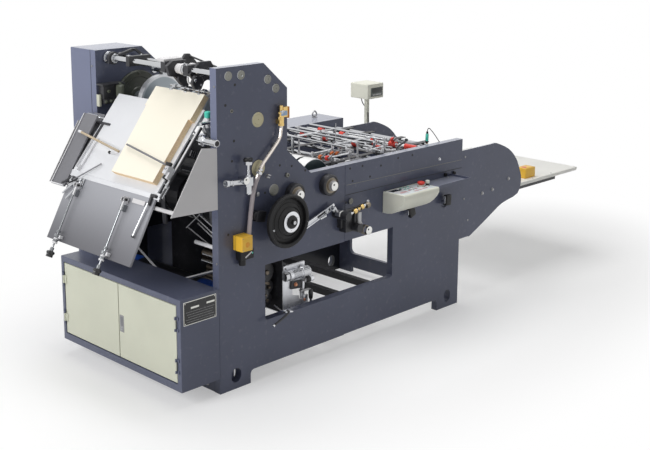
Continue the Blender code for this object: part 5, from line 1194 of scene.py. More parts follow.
# %% Black handles under the rail
handles = Fitting(BLACK)
for x, z, tilt in ((1.604, 0.634, 0.05), (1.298, 0.628, -0.35)):
    side = Vector((math.sin(tilt), 0, math.cos(tilt)))
    mid = P(x, -0.026, z)
    handles.slab(mid, (0.046, 0.022, 0.060), side.cross(Y), side, 0.009)
    handles.turned([(0, 0.020), (0.006, 0.022), (0.020, 0.022), (0.024, 0.017), (0.024, 0)], P(x, -0.0135, z + 0.004)
                   , -Y, 24, lobes=6, wave=0.06)
    handles.use(CHROME)
    handles.rod(P(x, -0.0003, z), P(x, -0.018, z), 0.008)
    handles.slab(P(x - 0.026, -0.026, z + 0.004), (0.004, 0.010, 0.040), (1, 0, 0), side, 0.001)
    handles.use(BLACK)
for x, z in ((1.613, 0.769), (1.689, 0.766)):
    handles.cap_bolt(P(x, 0.005, z), -Y, 0.0095, 0.012)
handles.done("rail_handles", "black_plastic")

# %% Shelf hem and wing bolts
trim = Fitting(SLATE)
low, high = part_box("console_shelf")
trim.rod((low.x + 0.002, low.y + 0.0016, high.z + 0.0004), (high.x - 0.002, low.y + 0.0016, high.z + 0.0004), 0.0015)
trim.use(ZINC)
for x in (0.03, 0.12, 0.22):
    trim.cap_bolt((low.x + x, high.y - 0.020, low.z + 0.0031), Z, 0.0042, 0.0028)
for x, z in ((1.960, 0.603), (2.056, 0.609), (2.212, 0.647)):
    for y, out in ((0.005, -Y), (0.942, Y)):
        trim.use(ZINC)
        trim.hex_bolt(P(x, y, z), out, 0.0085, 0.0060)
trim.done("shelf_trim", "slate_paint")

# %% [markdown]
# ## Yellow boxes, counter and sensor
# The yellow boxes are moulded shells, each with a lid seam, corner screws and a shrouded button. The counter shows a
# dark window over a strip of blank keys.

# %% Yellow boxes
AMBER = moulded("amber_button_plastic", (0.90, 0.38, 0.02), 0.25)
boxes = Fitting(YELLOW)
low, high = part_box("stop_box_near")
mid = (low + high) / 2
boxes.slab((mid.x, low.y + 0.0005, mid.z), (0.0600, 0.0032, 0.0645), edge=0.0014)
boxes.ring((mid.x, low.y + 0.0004, mid.z - 0.004), -Y, 0.0150, 0.0200, 0.0012, 0.0005, 32)
boxes.use(AMBER)
boxes.turned([(0, 0.0148), (0.0012, 0.0148), (0.0016, 0.0120), (0.0017, 0)], (mid.x, low.y + 0.0004, mid.z - 0.004),
             -Y, 32)
boxes.use(HOLE)
boxes.ring((mid.x, low.y + 0.0005, mid.z - 0.004), -Y, 0.0146, 0.0154, 0.0011, 0.0002, 32)
boxes.use(ZINC)
for x in (-0.025, 0.025):
    for z in (-0.027, 0.027):
        boxes.cap_bolt((mid.x + x, low.y - 0.0008, mid.z + z), -Y, 0.0026, 0.0006)
boxes.use(BLACK)
boxes.slab((mid.x, high.y - 0.016, mid.z), (0.0668, 0.0010, 0.0713), edge=0.0003)
low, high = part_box("table_stop_box")
mid = (low + high) / 2
boxes.use(YELLOW)
boxes.slab((mid.x, mid.y, high.z - 0.0005), (0.092, 0.060, 0.0030), edge=0.0010)
boxes.slab((mid.x, low.y + 0.0003, mid.z + 0.004), (0.090, 0.0020, 0.042), edge=0.0008)
boxes.use(RED)
boxes.turned([(0, 0.0160), (0.0010, 0.0168), (0.0014, 0.0150), (0.0014, 0)], (mid.x - 0.018, mid.y, high.z), Z, 30)
boxes.use(ZINC)
for x in (-0.038, 0.038):
    for y in (-0.022, 0.022):
        boxes.cap_bolt((mid.x + x, mid.y + y, high.z + 0.0005), Z, 0.0026, 0.0008)
boxes.done("yellow_lids", "yellow_plastic")

# %% Regulator, counter face and sensor
DISPLAY_RIM = painted("dark_green_bezel", (0.10, 0.12, 0.11), 0.30, 0.05)
small = Fitting(BLACK)
low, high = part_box("air_regulator")
mid = (low + high) / 2
small.slab((mid.x, low.y - 0.0002 + 0.0015, mid.z + 0.010), (0.056, 0.003, 0.020), edge=0.0010)
small.use(WHITE_METAL)
small.slab((mid.x + 0.006, low.y + 0.0005, mid.z + 0.011), (0.044, 0.0032, 0.0070), (1, 0, 0.55), (-0.55, 0, 1),
           0.001)
small.use(TEAL)
small.turned([(0, 0.004), (0.002, 0.0045), (0.003, 0)], (high.x - 0.010, low.y + 0.0012, mid.z + 0.016), -Y, 12)
low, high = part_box("counter_box")
x0, z0 = low.x, PLATE_ORIGIN.z + 1.009
face = PLATE_ORIGIN.y + 1.000
small.use(DISPLAY_RIM)
small.slab((x0 + 0.083, face - 0.0004, z0 + 0.0425), (0.110, 0.0018, 0.056), edge=0.0006)
small.use(SCREEN)
small.slab((x0 + 0.086, face - 0.0011, z0 + 0.0530), (0.094, 0.0016, 0.029), edge=0.0004)
small.use(GUARD)
for k in range(6):
    small.slab((x0 + 0.050 + 0.0135 * k, face - 0.0014, z0 + 0.0250), (0.0095, 0.0018, 0.0085), edge=0.0005)
small.use(ZINC)
for x in (0.008, 0.139):
    for z in (0.008, 0.087):
        small.cap_bolt((x0 + x, face, z0 + z), -Y, 0.0024, 0.0012)
small.done("small_fittings", "black_plastic")
sensor = Fitting(BRASS)
sensor.turned([(0, 0.006), (0.004, 0.006), (0.005, 0.004), (0.005, 0)], P(1.522, 0.062, 0.9448), Z, 12)
sensor.use(BLACK)
sensor.rod(P(1.5215, 0.062, 0.9490), P(1.5218, 0.062, 0.9600), 0.0085)
sensor.turned([(0, 0.0062), (0.010, 0.0060), (0.015, 0.0020), (0.015, 0)], P(1.5237, 0.062, 0.9990), (0.05, 0, 1), 14)
sensor.use(TEAL)
sensor.turned([(0, 0.0078), (0.002, 0.0086), (0.036, 0.0086), (0.040, 0.0065), (0.040, 0)], P(1.5218, 0.062, 0.9600),
              (0.05, 0, 1), 20)
sheet_sensor = sensor.done("sheet_sensor", "black_plastic")


def lead(name, route, radius, slot):
    """A short electric lead that the photograph shows from end to end; its length and thickness are printed."""
    line = smooth_line(route)
    fit = Fitting(BLACK)
    fit.bent(route, radius, 10)
    piece = fit.done(name, slot)
    length = sum((b - a).length for a, b in zip(line, line[1:]))
    print(f"{name}: {length * 1000:.0f} mm long, {radius * 2000:.1f} mm thick")


lead("sensor_lead", [P(1.6028, 0.036, 0.9430), P(1.6012, 0.044, 0.9520), P(1.5880, 0.052, 0.9750),
                     P(1.5659, 0.058, 1.0030),
                     P(1.5400, 0.061, 1.0265), P(1.5290, 0.062, 1.0235), P(1.5243, 0.062, 1.0130)],
     0.0021, "black_plastic")

# %% Sheets and levers of the feeder
# The board laps over the tray, its near edge carries a channel, and the far side sheet is folded under the board.
KNOB = moulded("star_knob_plastic", (0.016, 0.016, 0.018), 0.34)
laps = Fitting(SATIN)
laps.slab(BOARD.on(0.446, 0.494, -0.006), (0.030, 0.735, 0.003), BOARD.down, BOARD.out, 0.0008)
laps.slab(TRAY.on(-0.010, 0.494, 0.000), (0.030, 0.735, 0.003), TRAY.down, TRAY.out, 0.0008)
laps.slab(BOARD.on(0.215, 0.116, -0.004), (0.400, 0.026, 0.0025), BOARD.down, BOARD.out, 0.0008)
laps.use(DARK_SHEET)
laps.slab(BOARD.on(0.285, 0.868, -0.012), (0.330, 0.090, 0.0025), BOARD.down, BOARD.out, 0.0008)
laps.use(WHITE_METAL)
low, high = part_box("side_board")
far_y, near_y = high.y - PLATE_ORIGIN.y - 0.001, low.y - PLATE_ORIGIN.y + 0.002
laps.rod(SIDE.on(0.002, far_y, 0.003), SIDE.on(0.372, far_y, 0.003), 0.0024)
laps.rod(SIDE.on(0.372, far_y, 0.003), SIDE.on(0.372, near_y, 0.003), 0.0030)
laps.use(ZINC)
for along in (0.03, 0.17, 0.31):
    laps.cap_bolt(BOARD.on(along, 0.109, -0.0028), BOARD.out, 0.0045, 0.003)
laps.done("feeder_laps", "grey_sheet")

levers = Fitting(CHROME)
levers.bent([TRAY.on(0.097, 0.800, 0.010), TRAY.on(0.050, 0.755, 0.012), TRAY.on(0.015, 0.708, 0.014),
             TRAY.on(0.022, 0.696, 0.016), TRAY.on(0.040, 0.700, 0.014), TRAY.on(0.117, 0.760, 0.010)], 0.0040, 10, 6)
levers.use(BLACK_PAINT)
levers.bent([TRAY.on(0.051, 0.835, 0.010), TRAY.on(0.034, 0.795, 0.018), TRAY.on(0.014, 0.760, 0.020),
             TRAY.on(0.030, 0.716, 0.014)], 0.0048, 10, 6)
levers.turned([(0, 0.010), (0.004, 0.012), (0.014, 0.012), (0.018, 0.008), (0.018, 0)], TRAY.on(0.018, 0.752, 0.006),
              TRAY.out, 20)
levers.use(CHROME)
levers.cap_bolt(TRAY.on(0.018, 0.752, 0.024), TRAY.out, 0.0050, 0.003)
levers.slab(TRAY.on(0.030, 0.735, 0.004), (0.050, 0.110, 0.004), TRAY.down, TRAY.out, 0.001)
for y in (0.325, 0.700):
    for along, r in ((0.288, 0.0125), (0.304, 0.0105), (0.322, 0.0125)):
        levers.use(WHITE_METAL)
        levers.turned([(0, r * 0.86), (0.002, r), (0.008, r), (0.010, r * 0.86)], TRAY.on(along, y, 0.020),
                      TRAY.down, 24, lobes=12, wave=0.03)
    levers.slab(TRAY.on(0.296, y - 0.017, 0.010), (0.016, 0.012, 0.020), TRAY.down, TRAY.out, 0.002)
    levers.use(CHROME)
    for k in range(14):
        levers.ring(TRAY.on(0.340 + 0.0035 * k, y, 0.020), TRAY.down, 0.0038, 0.0047, 0.0018, 0.0006, 12)
    levers.use(KNOB)
    levers.turned([(0, 0.006), (0.003, 0.010), (0.006, 0.0166), (0.010, 0.0178), (0.016, 0.0172), (0.020, 0.0120)],
                  TRAY.on(0.366, y, 0.020), TRAY.down, 36, lobes=6, wave=0.10)
levers.done("tray_levers", "chrome_bar")

# %% [markdown]
# ## Inside the feed end
# Under the sheets the guard plates, the air rods and the struts can be seen against the dark drum. They are pale, so
# they carry much of what the eye reads there.

# %% Guards, air fittings and struts
inside = Fitting(GUARD)
low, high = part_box("side_guards")
print("guards from", [round(v, 3) for v in low - PLATE_ORIGIN], "to", [round(v, 3) for v in high - PLATE_ORIGIN])
inside.use(CHROME)
inside.use(WHITE_METAL)
inside.rod(P(0.0100, 0.028, 0.688), P(0.0100, 0.173, 0.688), 0.0095)
inside.use(CHROME)
inside.rod(P(0.0060, 0.028, 0.645), P(0.0060, 0.110, 0.645), 0.0038)
inside.rod(P(0.0060, 0.028, 0.614), P(0.0060, 0.119, 0.614), 0.0038)
for y, z in ((0.110, 0.645), (0.119, 0.614)):
    inside.hex_bolt(P(0.0060, y, z), Y, 0.0065, 0.006, False)
inside.use(TURNED)
inside.bent([P(0.0090, 0.042, 0.579), P(0.0090, 0.150, 0.535), P(0.0090, 0.300, 0.474), P(0.0090, 0.360, 0.450)],
            0.0075, 12, 5)
inside.use(WHITE_METAL)
inside.rod(P(0.0075, 0.905, 0.712), P(0.0075, 0.400, 0.461), 0.0052)
inside.turned([(0, 0.012), (0.003, 0.012), (0.006, 0.007), (0.006, 0)], P(0.0075, 0.905, 0.712), -Y, 18)
inside.use(ZINC)
for y, z, far_y, far_z in ((0.254, 0.738, 0.042, 0.666), (0.225, 0.809, 0.042, 0.728), (0.181, 0.771, 0.042, 0.711),
                           (0.166, 0.811, 0.042, 0.762), (0.262, 0.732, 0.160, 0.817)):
    inside.rod(P(0.030, y, z), P(0.030, far_y, far_z), 0.0030)
inside.use(TEAL)
inside.turned([(0, 0.0135), (0.003, 0.0150), (0.024, 0.0150), (0.028, 0.0120), (0.028, 0)], P(0.033, 0.100, 1.269), Z,
              22)
inside.use(WHITE_METAL)
inside.turned([(0, 0.0100), (0.004, 0.0120), (0.040, 0.0120), (0.046, 0.0085)], P(0.033, 0.100, 1.223), Z, 22)
inside.use(CHROME)
inside.rod(P(-0.020, 0.086, 1.248), P(0.090, 0.086, 1.248), 0.0070)
inside.use(BLACK)
inside.slab(P(-0.014, 0.150, 1.102), (0.062, 0.026, 0.030), (1, 0, -0.5), (0.5, 0, 1), 0.003)
inside.use(ZINC)
for k in range(5):
    inside.slab(P(-0.036 + 0.011 * k, 0.137, 1.113 - 0.0055 * k), (0.0045, 0.004, 0.026), (1, 0, -0.5), (0.5, 0, 1),
                0.0008)
inside.use(DARK_SHEET)
for k, (x, y, z) in enumerate(((0.250, 0.717, 0.712), (0.250, 0.596, 1.010), (0.250, 0.347, 1.145),
                               (0.250, 0.345, 0.780))):
    inside.slab(P(x, y, z), (0.014, 0.030, 0.190), (1, 0, 0), (-0.35, 0.10, 1), 0.003)
inside.use(TURNED)
for y in (0.120, 0.260, 0.420, 0.560, 0.700):
    inside.ring(P(0.350, y, 0.770), Y, 0.1035, 0.1110, 0.010, 0.002, 48)
inside.done("feed_inside", "black_steel")

# %% [markdown]
# ## Behind the window
# The gum unit stands behind the window: a plate with a fine adjuster, a knurled thimble, a black lock knob and a
# hand grip. Dark rollers and their gears turn behind it.

# %% Gum unit fittings
GREASY = metal("oiled_steel", (0.16, 0.135, 0.11), 0.34, (1.0, 1.0, 1.0), 60.0, 0.18, 0.00003, 0.35)
gum = Fitting(SHEET)
gum.plate([(0.0, 0.0), (0.140, -0.034), (0.140, -0.052), (0.175, -0.062), (0.175, -0.088), (0.010, -0.052),
           (0, -0.040)],
          P(0.452, 0.0985, 0.342), X, Z, 0.004)
gum.slab(P(0.452, 0.0965, 0.310), (0.016, 0.006, 0.074), edge=0.002)
gum.slab(P(0.6140, 0.090, 0.366), (0.010, 0.010, 0.080), edge=0.002)
gum.slab(P(0.634, 0.094, 0.272), (0.030, 0.010, 0.060), edge=0.002)
gum.use(CHROME)
gum.turned([(0, 0.0205), (0.004, 0.0235), (0.020, 0.0235), (0.024, 0.0205), (0.024, 0)], P(0.5000, 0.078, 0.4310), -X,
           28)
gum.turned([(0, 0.0255), (0.003, 0.0275), (0.045, 0.0275), (0.048, 0.0255)], P(0.5900, 0.078, 0.4300), X, 60,
           lobes=30, wave=0.018)
for k in range(7):
    gum.ring(P(0.5280 + 0.008 * k, 0.078, 0.430), X, 0.0238, 0.0248, 0.0040, 0.0008, 28)
gum.use(BLACK)
gum.turned([(0, 0.020), (0.010, 0.0215), (0.014, 0.0195)], P(0.5120, 0.078, 0.4305), X, 24)
gum.use(KNOB)
gum.turned([(0, 0.0130), (0.004, 0.0160), (0.016, 0.0160), (0.020, 0.0125), (0.020, 0)], P(0.6180, 0.066, 0.3905), X,
           30,
           lobes=10, wave=0.05)
gum.use(BLACK_PAINT)
gum.slab(P(0.5750, 0.0945, 0.3680), (0.078, 0.008, 0.040), (1, 0, -0.12), (0.12, 0, 1), 0.002)
gum.use(metal("copper_nut", (0.52, 0.26, 0.16), 0.32, (1.0, 1.0, 1.0), 60.0, 0.12))
gum.hex_bolt(P(0.5640, 0.0900, 0.3720), -Y, 0.0085, 0.007)
gum.hex_bolt(P(0.6240, 0.0880, 0.2800), -Y, 0.0060, 0.006)
gum.use(ZINC)
for x, z in ((0.506, 0.462), (0.506, 0.250), (0.600, 0.456), (0.622, 0.340), (0.545, 0.388), (0.604, 0.356),
             (0.470, 0.325)):
    gum.cap_bolt(P(x, 0.0995, z), -Y, 0.0048, 0.004)
gum.slab(P(0.6200, 0.0800, 0.3340), (0.070, 0.014, 0.008), (1, 0, -0.1), (0.1, 0, 1), 0.002)
gum.use(KNOB)
gum.turned([(0, 0.0070), (0.006, 0.0105), (0.030, 0.0118), (0.044, 0.0100), (0.050, 0.0060), (0.050, 0)],
           P(0.652, 0.072, 0.281), Z, 24)
gum.use(CHROME)
gum.rod(P(0.652, 0.072, 0.241), P(0.652, 0.072, 0.284), 0.0060)
gum.hex_bolt(P(0.652, 0.072, 0.236), Z, 0.0095, 0.006)
gum.use(TAN)
gum.rod(P(0.498, 0.118, 0.458), P(0.498, 0.420, 0.458), 0.0300, 0.002, 30)
gum.use(BLACK_PAINT)
gum.rod(P(0.498, 0.112, 0.458), P(0.498, 0.120, 0.458), 0.0330, 0.002, 30)
gum.done("gum_fittings", "grey_sheet")

# %% Rollers and gears behind the window
train = Fitting(GREASY)
for x, z, r, y0 in ((0.375, 0.475, 0.040, 0.115), (0.402, 0.392, 0.026, 0.130), (0.352, 0.372, 0.020, 0.100),
                    (0.398, 0.325, 0.030, 0.140)):
    train.rod(P(x, y0, z), P(x, y0 + 0.420, z), r, 0.002, 26)
    train.use(BLACK_PAINT)
    train.turned([(0, r * 0.35), (0, r * 1.22), (0.002, r * 1.28), (0.014, r * 1.28), (0.016, r * 1.22),
                  (0.016, r * 0.35)],
                 P(x, y0 - 0.018, z), Y, 84, closed=True, lobes=28, wave=0.035)
    train.use(GREASY)
    train.turned([(0, r * 0.22), (0.003, r * 0.30), (0.030, r * 0.30)], P(x, y0 - 0.030, z), Y, 18)
    train.use(GREASY)
train.slab(P(0.372, 0.100, 0.425), (0.060, 0.006, 0.014), (1, 0, -0.5), (0.5, 0, 1), 0.002)
train.use(WHITE_METAL)
train.rod(P(0.437, 0.045, 0.274), P(0.612, 0.045, 0.250), 0.0040)
train.rod(P(0.437, 0.045, 0.274), P(0.437, 0.108, 0.292), 0.0036)
train.use(BLACK_PAINT)
train.bent([P(0.434, 0.012, 0.291), P(0.404, -0.030, 0.303), P(0.372, -0.048, 0.300), P(0.330, -0.050, 0.285),
            P(0.291, -0.050, 0.271)], 0.0056, 10, 6)
train.use(SHEET)
train.slab(P(0.432, 0.010, 0.2885), (0.052, 0.030, 0.006), (1, 0, -0.2), (0.2, 0, 1), 0.0015)
train.use(CHROME)
train.cap_bolt(P(0.432, 0.010, 0.2915), (0.2, 0, 1), 0.0060, 0.004)
train.rod(P(0.291, -0.050, 0.271), P(0.283, -0.050, 0.2675), 0.0072)
train.done("window_train", "black_steel")

# %% [markdown]
# ## The folding bed
# Polished rods on split clamps stand over the belts. Small rollers on forks press the folds, and posts carry the
# rods at two heights.

# %% Rods and clamps over the bed
POLISHED = metal("polished_rod", (0.74, 0.75, 0.77), 0.20, (1.0, 1.0, 1.0), 60.0, 0.10, 0.00001)


def bed_rod(fit, a, b, z, r=0.0046):
    """A polished rod with a split clamp at each end."""
    fit.use(POLISHED)
    fit.rod(P(*a, z), P(*b, z), r)
    run = (P(*b, z) - P(*a, z)).normalized()
    for x, y in (a, b):
        fit.use(WHITE_METAL)
        fit.slab(P(x, y, z), (0.016, 0.013, 0.017), run, Z, 0.002)
        fit.use(ZINC)
        fit.cap_bolt(P(x, y, z + 0.0085), Z, 0.0034, 0.003)


def bed_post(fit, x, y, z0, z1, r=0.0050):
    """A post on a small flange."""
    fit.use(WHITE_METAL)
    fit.turned([(0, 0.011), (0.003, 0.011), (0.005, r), (z1 - z0 - 0.001, r), (z1 - z0, r * 0.7)], P(x, y, z0), Z, 16)


def bed_roller(fit, x, y, z, paint, r=0.013, wide=0.015):
    """A small press roller in its fork."""
    fit.use(paint)
    fit.turned([(0, r * 0.45), (0, r * 0.9), (0.0015, r), (wide - 0.0015, r), (wide, r * 0.9), (wide, r * 0.45)],
               P(x, y - wide / 2, z), Y, 24, closed=True)
    fit.use(ZINC)
    fit.rod(P(x, y - wide * 0.8, z), P(x, y + wide * 0.8, z), r * 0.45)
    for side in (-1, 1):
        fit.slab(P(x + 0.010, y + side * wide * 0.68, z + 0.006), (0.034, 0.0025, 0.009), (1, 0, 0.5), Z, 0.0008)


ORANGE_RUBBER = moulded("orange_rubber", (0.62, 0.15, 0.035), 0.45)
over = Fitting(POLISHED)
for a, b in (((0.952, 0.488), (0.966, 0.571)), ((0.952, 0.488), (1.143, 0.496)), ((1.143, 0.496), (1.146, 0.663)),
             ((1.214, 0.361), (1.237, 0.115)), ((1.090, 0.386), (1.072, 0.154))):
    bed_rod(over, a, b, 1.0)
for a, b in (((1.097, 0.534), (1.083, 0.298)), ((0.856, 0.266), (0.996, 0.266)), ((0.856, 0.142), (1.001, 0.142)),
             ((1.120, 0.127), (1.262, 0.137)), ((1.157, 0.143), (1.154, 0.058))):
    bed_rod(over, a, b, 0.958)
for x, y, z0, z1 in ((0.978, 0.490, 0.906, 0.998), (1.147, 0.490, 0.912, 1.0), (1.342, 0.490, 0.912, 0.984),
                     (0.856, 0.266, 0.906, 0.958), (0.996, 0.142, 0.906, 0.958), (1.262, 0.137, 0.906, 0.958),
                     (1.237, 0.115, 0.906, 1.0), (1.072, 0.154, 0.906, 1.0), (1.083, 0.298, 0.906, 0.958)):
    bed_post(over, x, y, z0, z1)
over.use(WHITE_METAL)
over.turned([(0, 0.0060), (0.004, 0.0060), (0.006, 0.0022), (0.110, 0.0014), (0.111, 0)], P(0.962, 0.205, 1.0), Z, 10)
over.slab(P(1.074, 0.210, 0.950), (0.017, 0.046, 0.020), edge=0.003)
over.slab(P(0.900, 0.062, 0.940), (0.030, 0.016, 0.016), (1, 0.2, 0), Z, 0.002)
over.done("bed_rods", "chrome_bar")

press = Fitting(ORANGE_RUBBER)
for x, y, paint in ((0.822, 0.176, ORANGE_RUBBER), (0.832, 0.138, RED), (0.922, 0.190, ORANGE_RUBBER),
                    (0.941, 0.172, ORANGE_RUBBER), (1.270, 0.215, RED), (1.423, 0.220, RED)):
    bed_roller(press, x, y, 0.958, paint)
press.use(BLACK_PAINT)
press.block(P(0.823, 0.074, 0.912), P(0.913, 0.104, 0.950), 0.003)
press.block(P(1.160, 0.072, 0.912), P(1.262, 0.108, 0.944), 0.003)
for k in range(4):
    press.use(DARK_SHEET)
    press.ring(P(0.932 + 0.019 * k, 0.048, 0.938), Y, 0.004, 0.0095, 0.026, 0.001, 20)
    press.use(WHITE_METAL)
    press.cap_bolt(P(0.932 + 0.019 * k, 0.0475, 0.938), -Y, 0.0042, 0.003)
press.use(WHITE_METAL)
for x, y in ((1.231, 0.085), (1.253, 0.064)):
    press.ring(P(x, y, 0.944), Z, 0.007, 0.012, 0.010, 0.001, 22)
for x in (0.835, 0.868, 0.901):
    press.cap_bolt(P(x, 0.089, 0.950), Z, 0.0045, 0.004)
press.slab(P(0.868, 0.060, 0.936), (0.080, 0.006, 0.018), edge=0.002)
press.slab(P(1.210, 0.064, 0.934), (0.070, 0.006, 0.016), edge=0.002)
press.use(BLACK_PAINT)
press.bent([P(1.300, 0.100, 0.914), P(1.311, 0.100, 0.934), P(1.330, 0.100, 0.952), P(1.352, 0.100, 0.960),
            P(1.378, 0.100, 0.966), P(1.396, 0.100, 0.976)], 0.0052, 10, 6)
press.turned([(0, 0.007), (0.003, 0.009), (0.010, 0.009), (0.013, 0.006), (0.013, 0)], P(1.394, 0.100, 0.972),
             (0.4, 0, 1), 18)
press.use(ZINC)
press.hex_bolt(P(1.300, 0.100, 0.912), Z, 0.010, 0.008)
press.done("press_forks", "black_steel")

# %% [markdown]
# ## The far side and the delivery end
# The photograph doesn't show the far side, so it gets what such a machine has there: a gear cover with screws along
# its edges, bolted lids with louvres and pulls, an oil glass, and bolts where the beams meet the plates.

# %% Gear cover lids, screws and oil glass
COVER_Y = 1.120
RAIL_TOP = 0.947
GLASS = moulded("oil_glass", (0.70, 0.42, 0.08), 0.12)


def lid(fit, low, high, pulls=(0.5,), louvres=0):
    """A bolted lid on the gear cover, with its rim, screws, pulls and louvres."""
    (x0, z0), (x1, z1) = low, high
    fit.use(SLATE)
    fit.block(P(x0, COVER_Y - 0.0005, z0), P(x1, COVER_Y + 0.0030, z1), 0.0010)
    for k in range(louvres):
        z = z0 + 0.050 + k * 0.024
        fit.slab(P((x0 + x1) / 2, COVER_Y + 0.0055, z), ((x1 - x0) * 0.60, 0.0030, 0.0130), X, (0, 0.55, 1), 0.0010)
    fit.use(ZINC)
    for x in (x0 + 0.014, (x0 + x1) / 2, x1 - 0.014):
        for z in (z0 + 0.014, z1 - 0.014):
            fit.cap_bolt(P(x, COVER_Y + 0.0030, z), Y, 0.0052, 0.0040)
    fit.use(BLACK)
    for part in pulls:
        mid = P(x0 + (x1 - x0) * part, COVER_Y + 0.0030, z1 - 0.045)
        fit.bent([mid - X * 0.045, mid - X * 0.045 + Y * 0.015, mid + X * 0.045 + Y * 0.015, mid + X * 0.045], 0.0050,
                 10, 4)
        for side in (-1, 1):
            fit.turned([(0, 0.010), (0.003, 0.010), (0.005, 0.007), (0.005, 0)], mid + X * 0.045 * side, Y, 16)


cover = Fitting(SLATE)
lid(cover, (0.060, 0.200), (0.460, 0.620), (0.5,), 9)
lid(cover, (0.060, 0.700), (0.460, 1.100), (0.5,))
lid(cover, (0.660, 0.620), (1.130, 0.890), (0.5,))
lid(cover, (1.190, 0.620), (1.680, 0.890), (0.25, 0.75), 4)
cover.use(ZINC)
for x, z in ((0.03, 0.16), (0.03, 0.45), (0.03, 0.66), (0.03, 0.95), (0.03, 1.20), (0.03, 1.46), (0.16, 1.47),
             (0.26, 1.47),
             (0.36, 1.39), (0.54, 0.66), (0.54, 0.40), (0.54, 0.16), (0.30, 0.15), (0.62, 0.92), (0.90, 0.92),
             (1.16, 0.92), (1.45, 0.92), (1.73, 0.92), (1.73, 0.76), (1.73, 0.59), (1.16, 0.59), (0.90, 0.59)):
    cover.cap_bolt(P(x, COVER_Y, z), Y, 0.0062, 0.0050)
cover.ring(P(0.250, COVER_Y, 1.250), Y, 0.026, 0.042, 0.006, 0.002, 40)
cover.use(GLASS)
cover.turned([(0, 0.026), (0.003, 0.025), (0.005, 0.014), (0.0055, 0)], P(0.250, COVER_Y, 1.250), Y, 36)
cover.use(BRASS)
cover.hex_bolt(P(0.250, COVER_Y, 1.190), Y, 0.0100, 0.009)
cover.hex_bolt(P(0.420, COVER_Y, 0.150), Y, 0.0120, 0.010)
cover.use(ZINC)
for x in (0.70, 1.64):
    cover.turned([(0, 0.016), (0.004, 0.016), (0.006, 0.008), (0.012, 0.008)], P(x, 1.034, RAIL_TOP), Z, 20)
    cover.bent([P(x - 0.014, 1.034, RAIL_TOP + 0.008), P(x - 0.016, 1.034, RAIL_TOP + 0.026),
                P(x, 1.034, RAIL_TOP + 0.040),
                P(x + 0.016, 1.034, RAIL_TOP + 0.026), P(x + 0.014, 1.034, RAIL_TOP + 0.008)], 0.0048, 10, 5)
cover.done("cover_fittings", "slate_paint")

# %% Joint lines and plate bolts
joints = Fitting(HOLE)
joints.slab(P(-0.0003, 0.9472, 0.810), (0.0012, 0.0016, 1.380), edge=0.0003)
joints.slab(P(0.139, 0.9472, 1.4995), (0.276, 0.0016, 0.0008), edge=0.0002)
joints.slab(P(1.7573, 0.9472, 0.750), (0.0012, 0.0016, 0.390), edge=0.0003)
joints.use(ZINC)
for y in (0.935, 0.012):
    for z in (0.18, 0.62, 0.90, 1.14, 1.42):
        if y > 0.5 or z > 0.55:
            joints.cap_bolt(P(0.0, y, z), -X, 0.0048, 0.0030)
low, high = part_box("delivery_end_plate")
for y in (0.075, 0.260, 0.474, 0.687, 0.872):
    for z in (0.080, 0.420, 0.740):
        joints.hex_bolt((high.x, y + PLATE_ORIGIN.y, z), X, 0.0085, 0.0065)
low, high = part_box("floor_beam_feed")
for y in (0.090, 0.857):
    for z in (0.030, 0.072):
        joints.hex_bolt((low.x, y + PLATE_ORIGIN.y, z), -X, 0.0085, 0.0065)
for y, out in ((0.005, -Y), (0.942, Y)):
    for x, z in ((1.790, 0.840), (1.790, 0.600), (1.830, 0.470)):
        joints.cap_bolt(P(x, y, z), out, 0.0060, 0.0035)
joints.use(BLACK_PAINT)
for x in (0.045, 0.140, 1.615, 1.715):
    joints.hex_bolt(P(x, 0.947, 0.028), Y, 0.0095, 0.0070)
joints.done("joint_lines", "black_steel")

# %% Delivery table underside and rim
under = Fitting(TABLE)
low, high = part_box("delivery_table")
for y in (low.y + 0.001, high.y - 0.001):
    under.slab(((low.x + high.x) / 2, y, low.z + 0.002), (high.x - low.x - 0.02, 0.003, 0.012), edge=0.0008)
under.use(BLACK_PAINT)
for x in (low.x + 0.200, low.x + 0.420, low.x + 0.700):
    under.slab((x, (low.y + high.y) / 2, low.z - 0.006), (0.030, high.y - low.y - 0.060, 0.012), edge=0.0015)
under.use(ZINC)
for x in (low.x + 0.080, low.x + 0.320, low.x + 0.520):
    for y in (low.y + 0.016, high.y - 0.016):
        under.cap_bolt((x, y, high.z), Z, 0.0055, 0.0014)
        under.hex_bolt((x, y, low.z), -Z, 0.0075, 0.006)
low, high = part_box("delivery_roller")
under.use(DARK_SHEET)
for k in range(6):
    y = low.y + 0.10 + k * 0.143
    under.ring(((low.x + high.x) / 2, y, (low.z + high.z) / 2), Y, 0.0445, 0.0475, 0.030, 0.001, 40)
under.done("table_under", "black_steel")

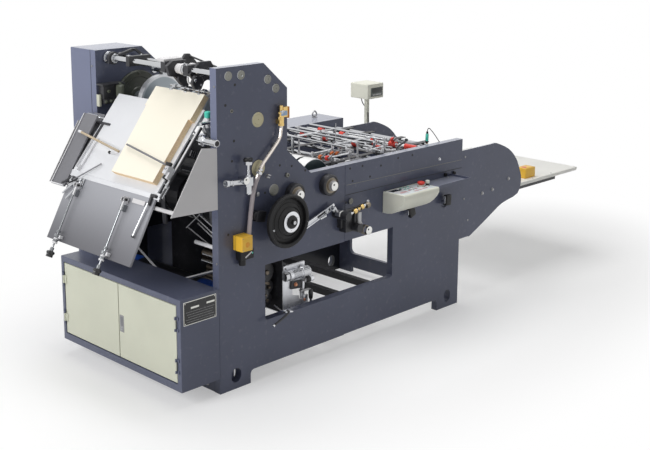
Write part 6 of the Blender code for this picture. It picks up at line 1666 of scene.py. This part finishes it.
# %% Pipe end, valve and counter post
ends = Fitting(HOLE)
low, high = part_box("lay_shaft")
tube = P(-0.0173, 0.0, 1.176)
ends.turned([(0, 0.0125), (0.0008, 0.0120), (0.0008, 0)], (tube.x, low.y - 0.0001, tube.z), -Y, 26)
ends.use(BRASS)
for z, r, tall in ((1.2055, 0.0150, 0.012), (1.2300, 0.0145, 0.010), (1.2600, 0.0140, 0.010)):
    ends.turned([(0, r * 0.92), (0.0015, r), (tall - 0.0015, r), (tall, r * 0.92)], P(0.366, -0.020, z), Z, 6,
                phase=0.4)
ends.rod(P(0.366, -0.020, 1.244), P(0.346, -0.028, 1.244), 0.0062)
ends.use(moulded("pale_blue_plastic", (0.42, 0.58, 0.80), 0.34))
ends.slab(P(0.3745, -0.0270, 1.2640), (0.034, 0.018, 0.022), edge=0.003)
ends.use(WHITE_METAL)
ends.turned([(0, 0.0070), (0.004, 0.0075), (0.008, 0.0050), (0.008, 0)], P(0.3600, -0.0350, 1.2720), -Y, 16)
ends.use(moulded("orange_lever_plastic", (0.62, 0.22, 0.03), 0.34))
ends.slab(P(0.4040, -0.0250, 1.2650), (0.009, 0.015, 0.054), (1, 0, 0), (0.12, 0, 1), 0.003)
ends.use(ZINC)
for k, z in enumerate((0.975, 0.985)):
    ends.ring(P(0.2790 + 0.006 * k, -0.022, z), (0.45, 0, 1), 0.0088, 0.0112, 0.006, 0.001, 18)
for x, y, z in ((0.230, -0.018, 0.905), (0.333, -0.022, 1.115)):
    ends.slab(P(x, -0.006, z), (0.014, 0.014, 0.020), edge=0.002)
    ends.cap_bolt(P(x, -0.013, z), -Y, 0.0035, 0.003)
low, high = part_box("counter_box")
post_x, post_y = (low.x + high.x) / 2, (low.y + high.y) / 2
for y in (high.y - 0.130, high.y - 0.020):
    for z in (high.z - 0.015, high.z - 0.078):
        ends.cap_bolt((high.x, y, z), X, 0.0030, 0.0020)
ends.done("end_fittings", "black_steel")
lead("counter_lead", [Vector((post_x, high.y - 0.030, high.z - 0.090)),
                      Vector((post_x, high.y - 0.034, high.z - 0.130)),
                      Vector((post_x, post_y + 0.016, high.z - 0.200)),
                      Vector((post_x, post_y + 0.0130, high.z - 0.330)),
                      Vector((post_x, post_y + 0.0125, high.z - 0.420))], 0.0030,
     "black_plastic")

# %% Finish
low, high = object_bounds()
bpy.context.scene.view_settings.view_transform = "Standard"
print("visual box:", [round(v, 3) for v in high - low])
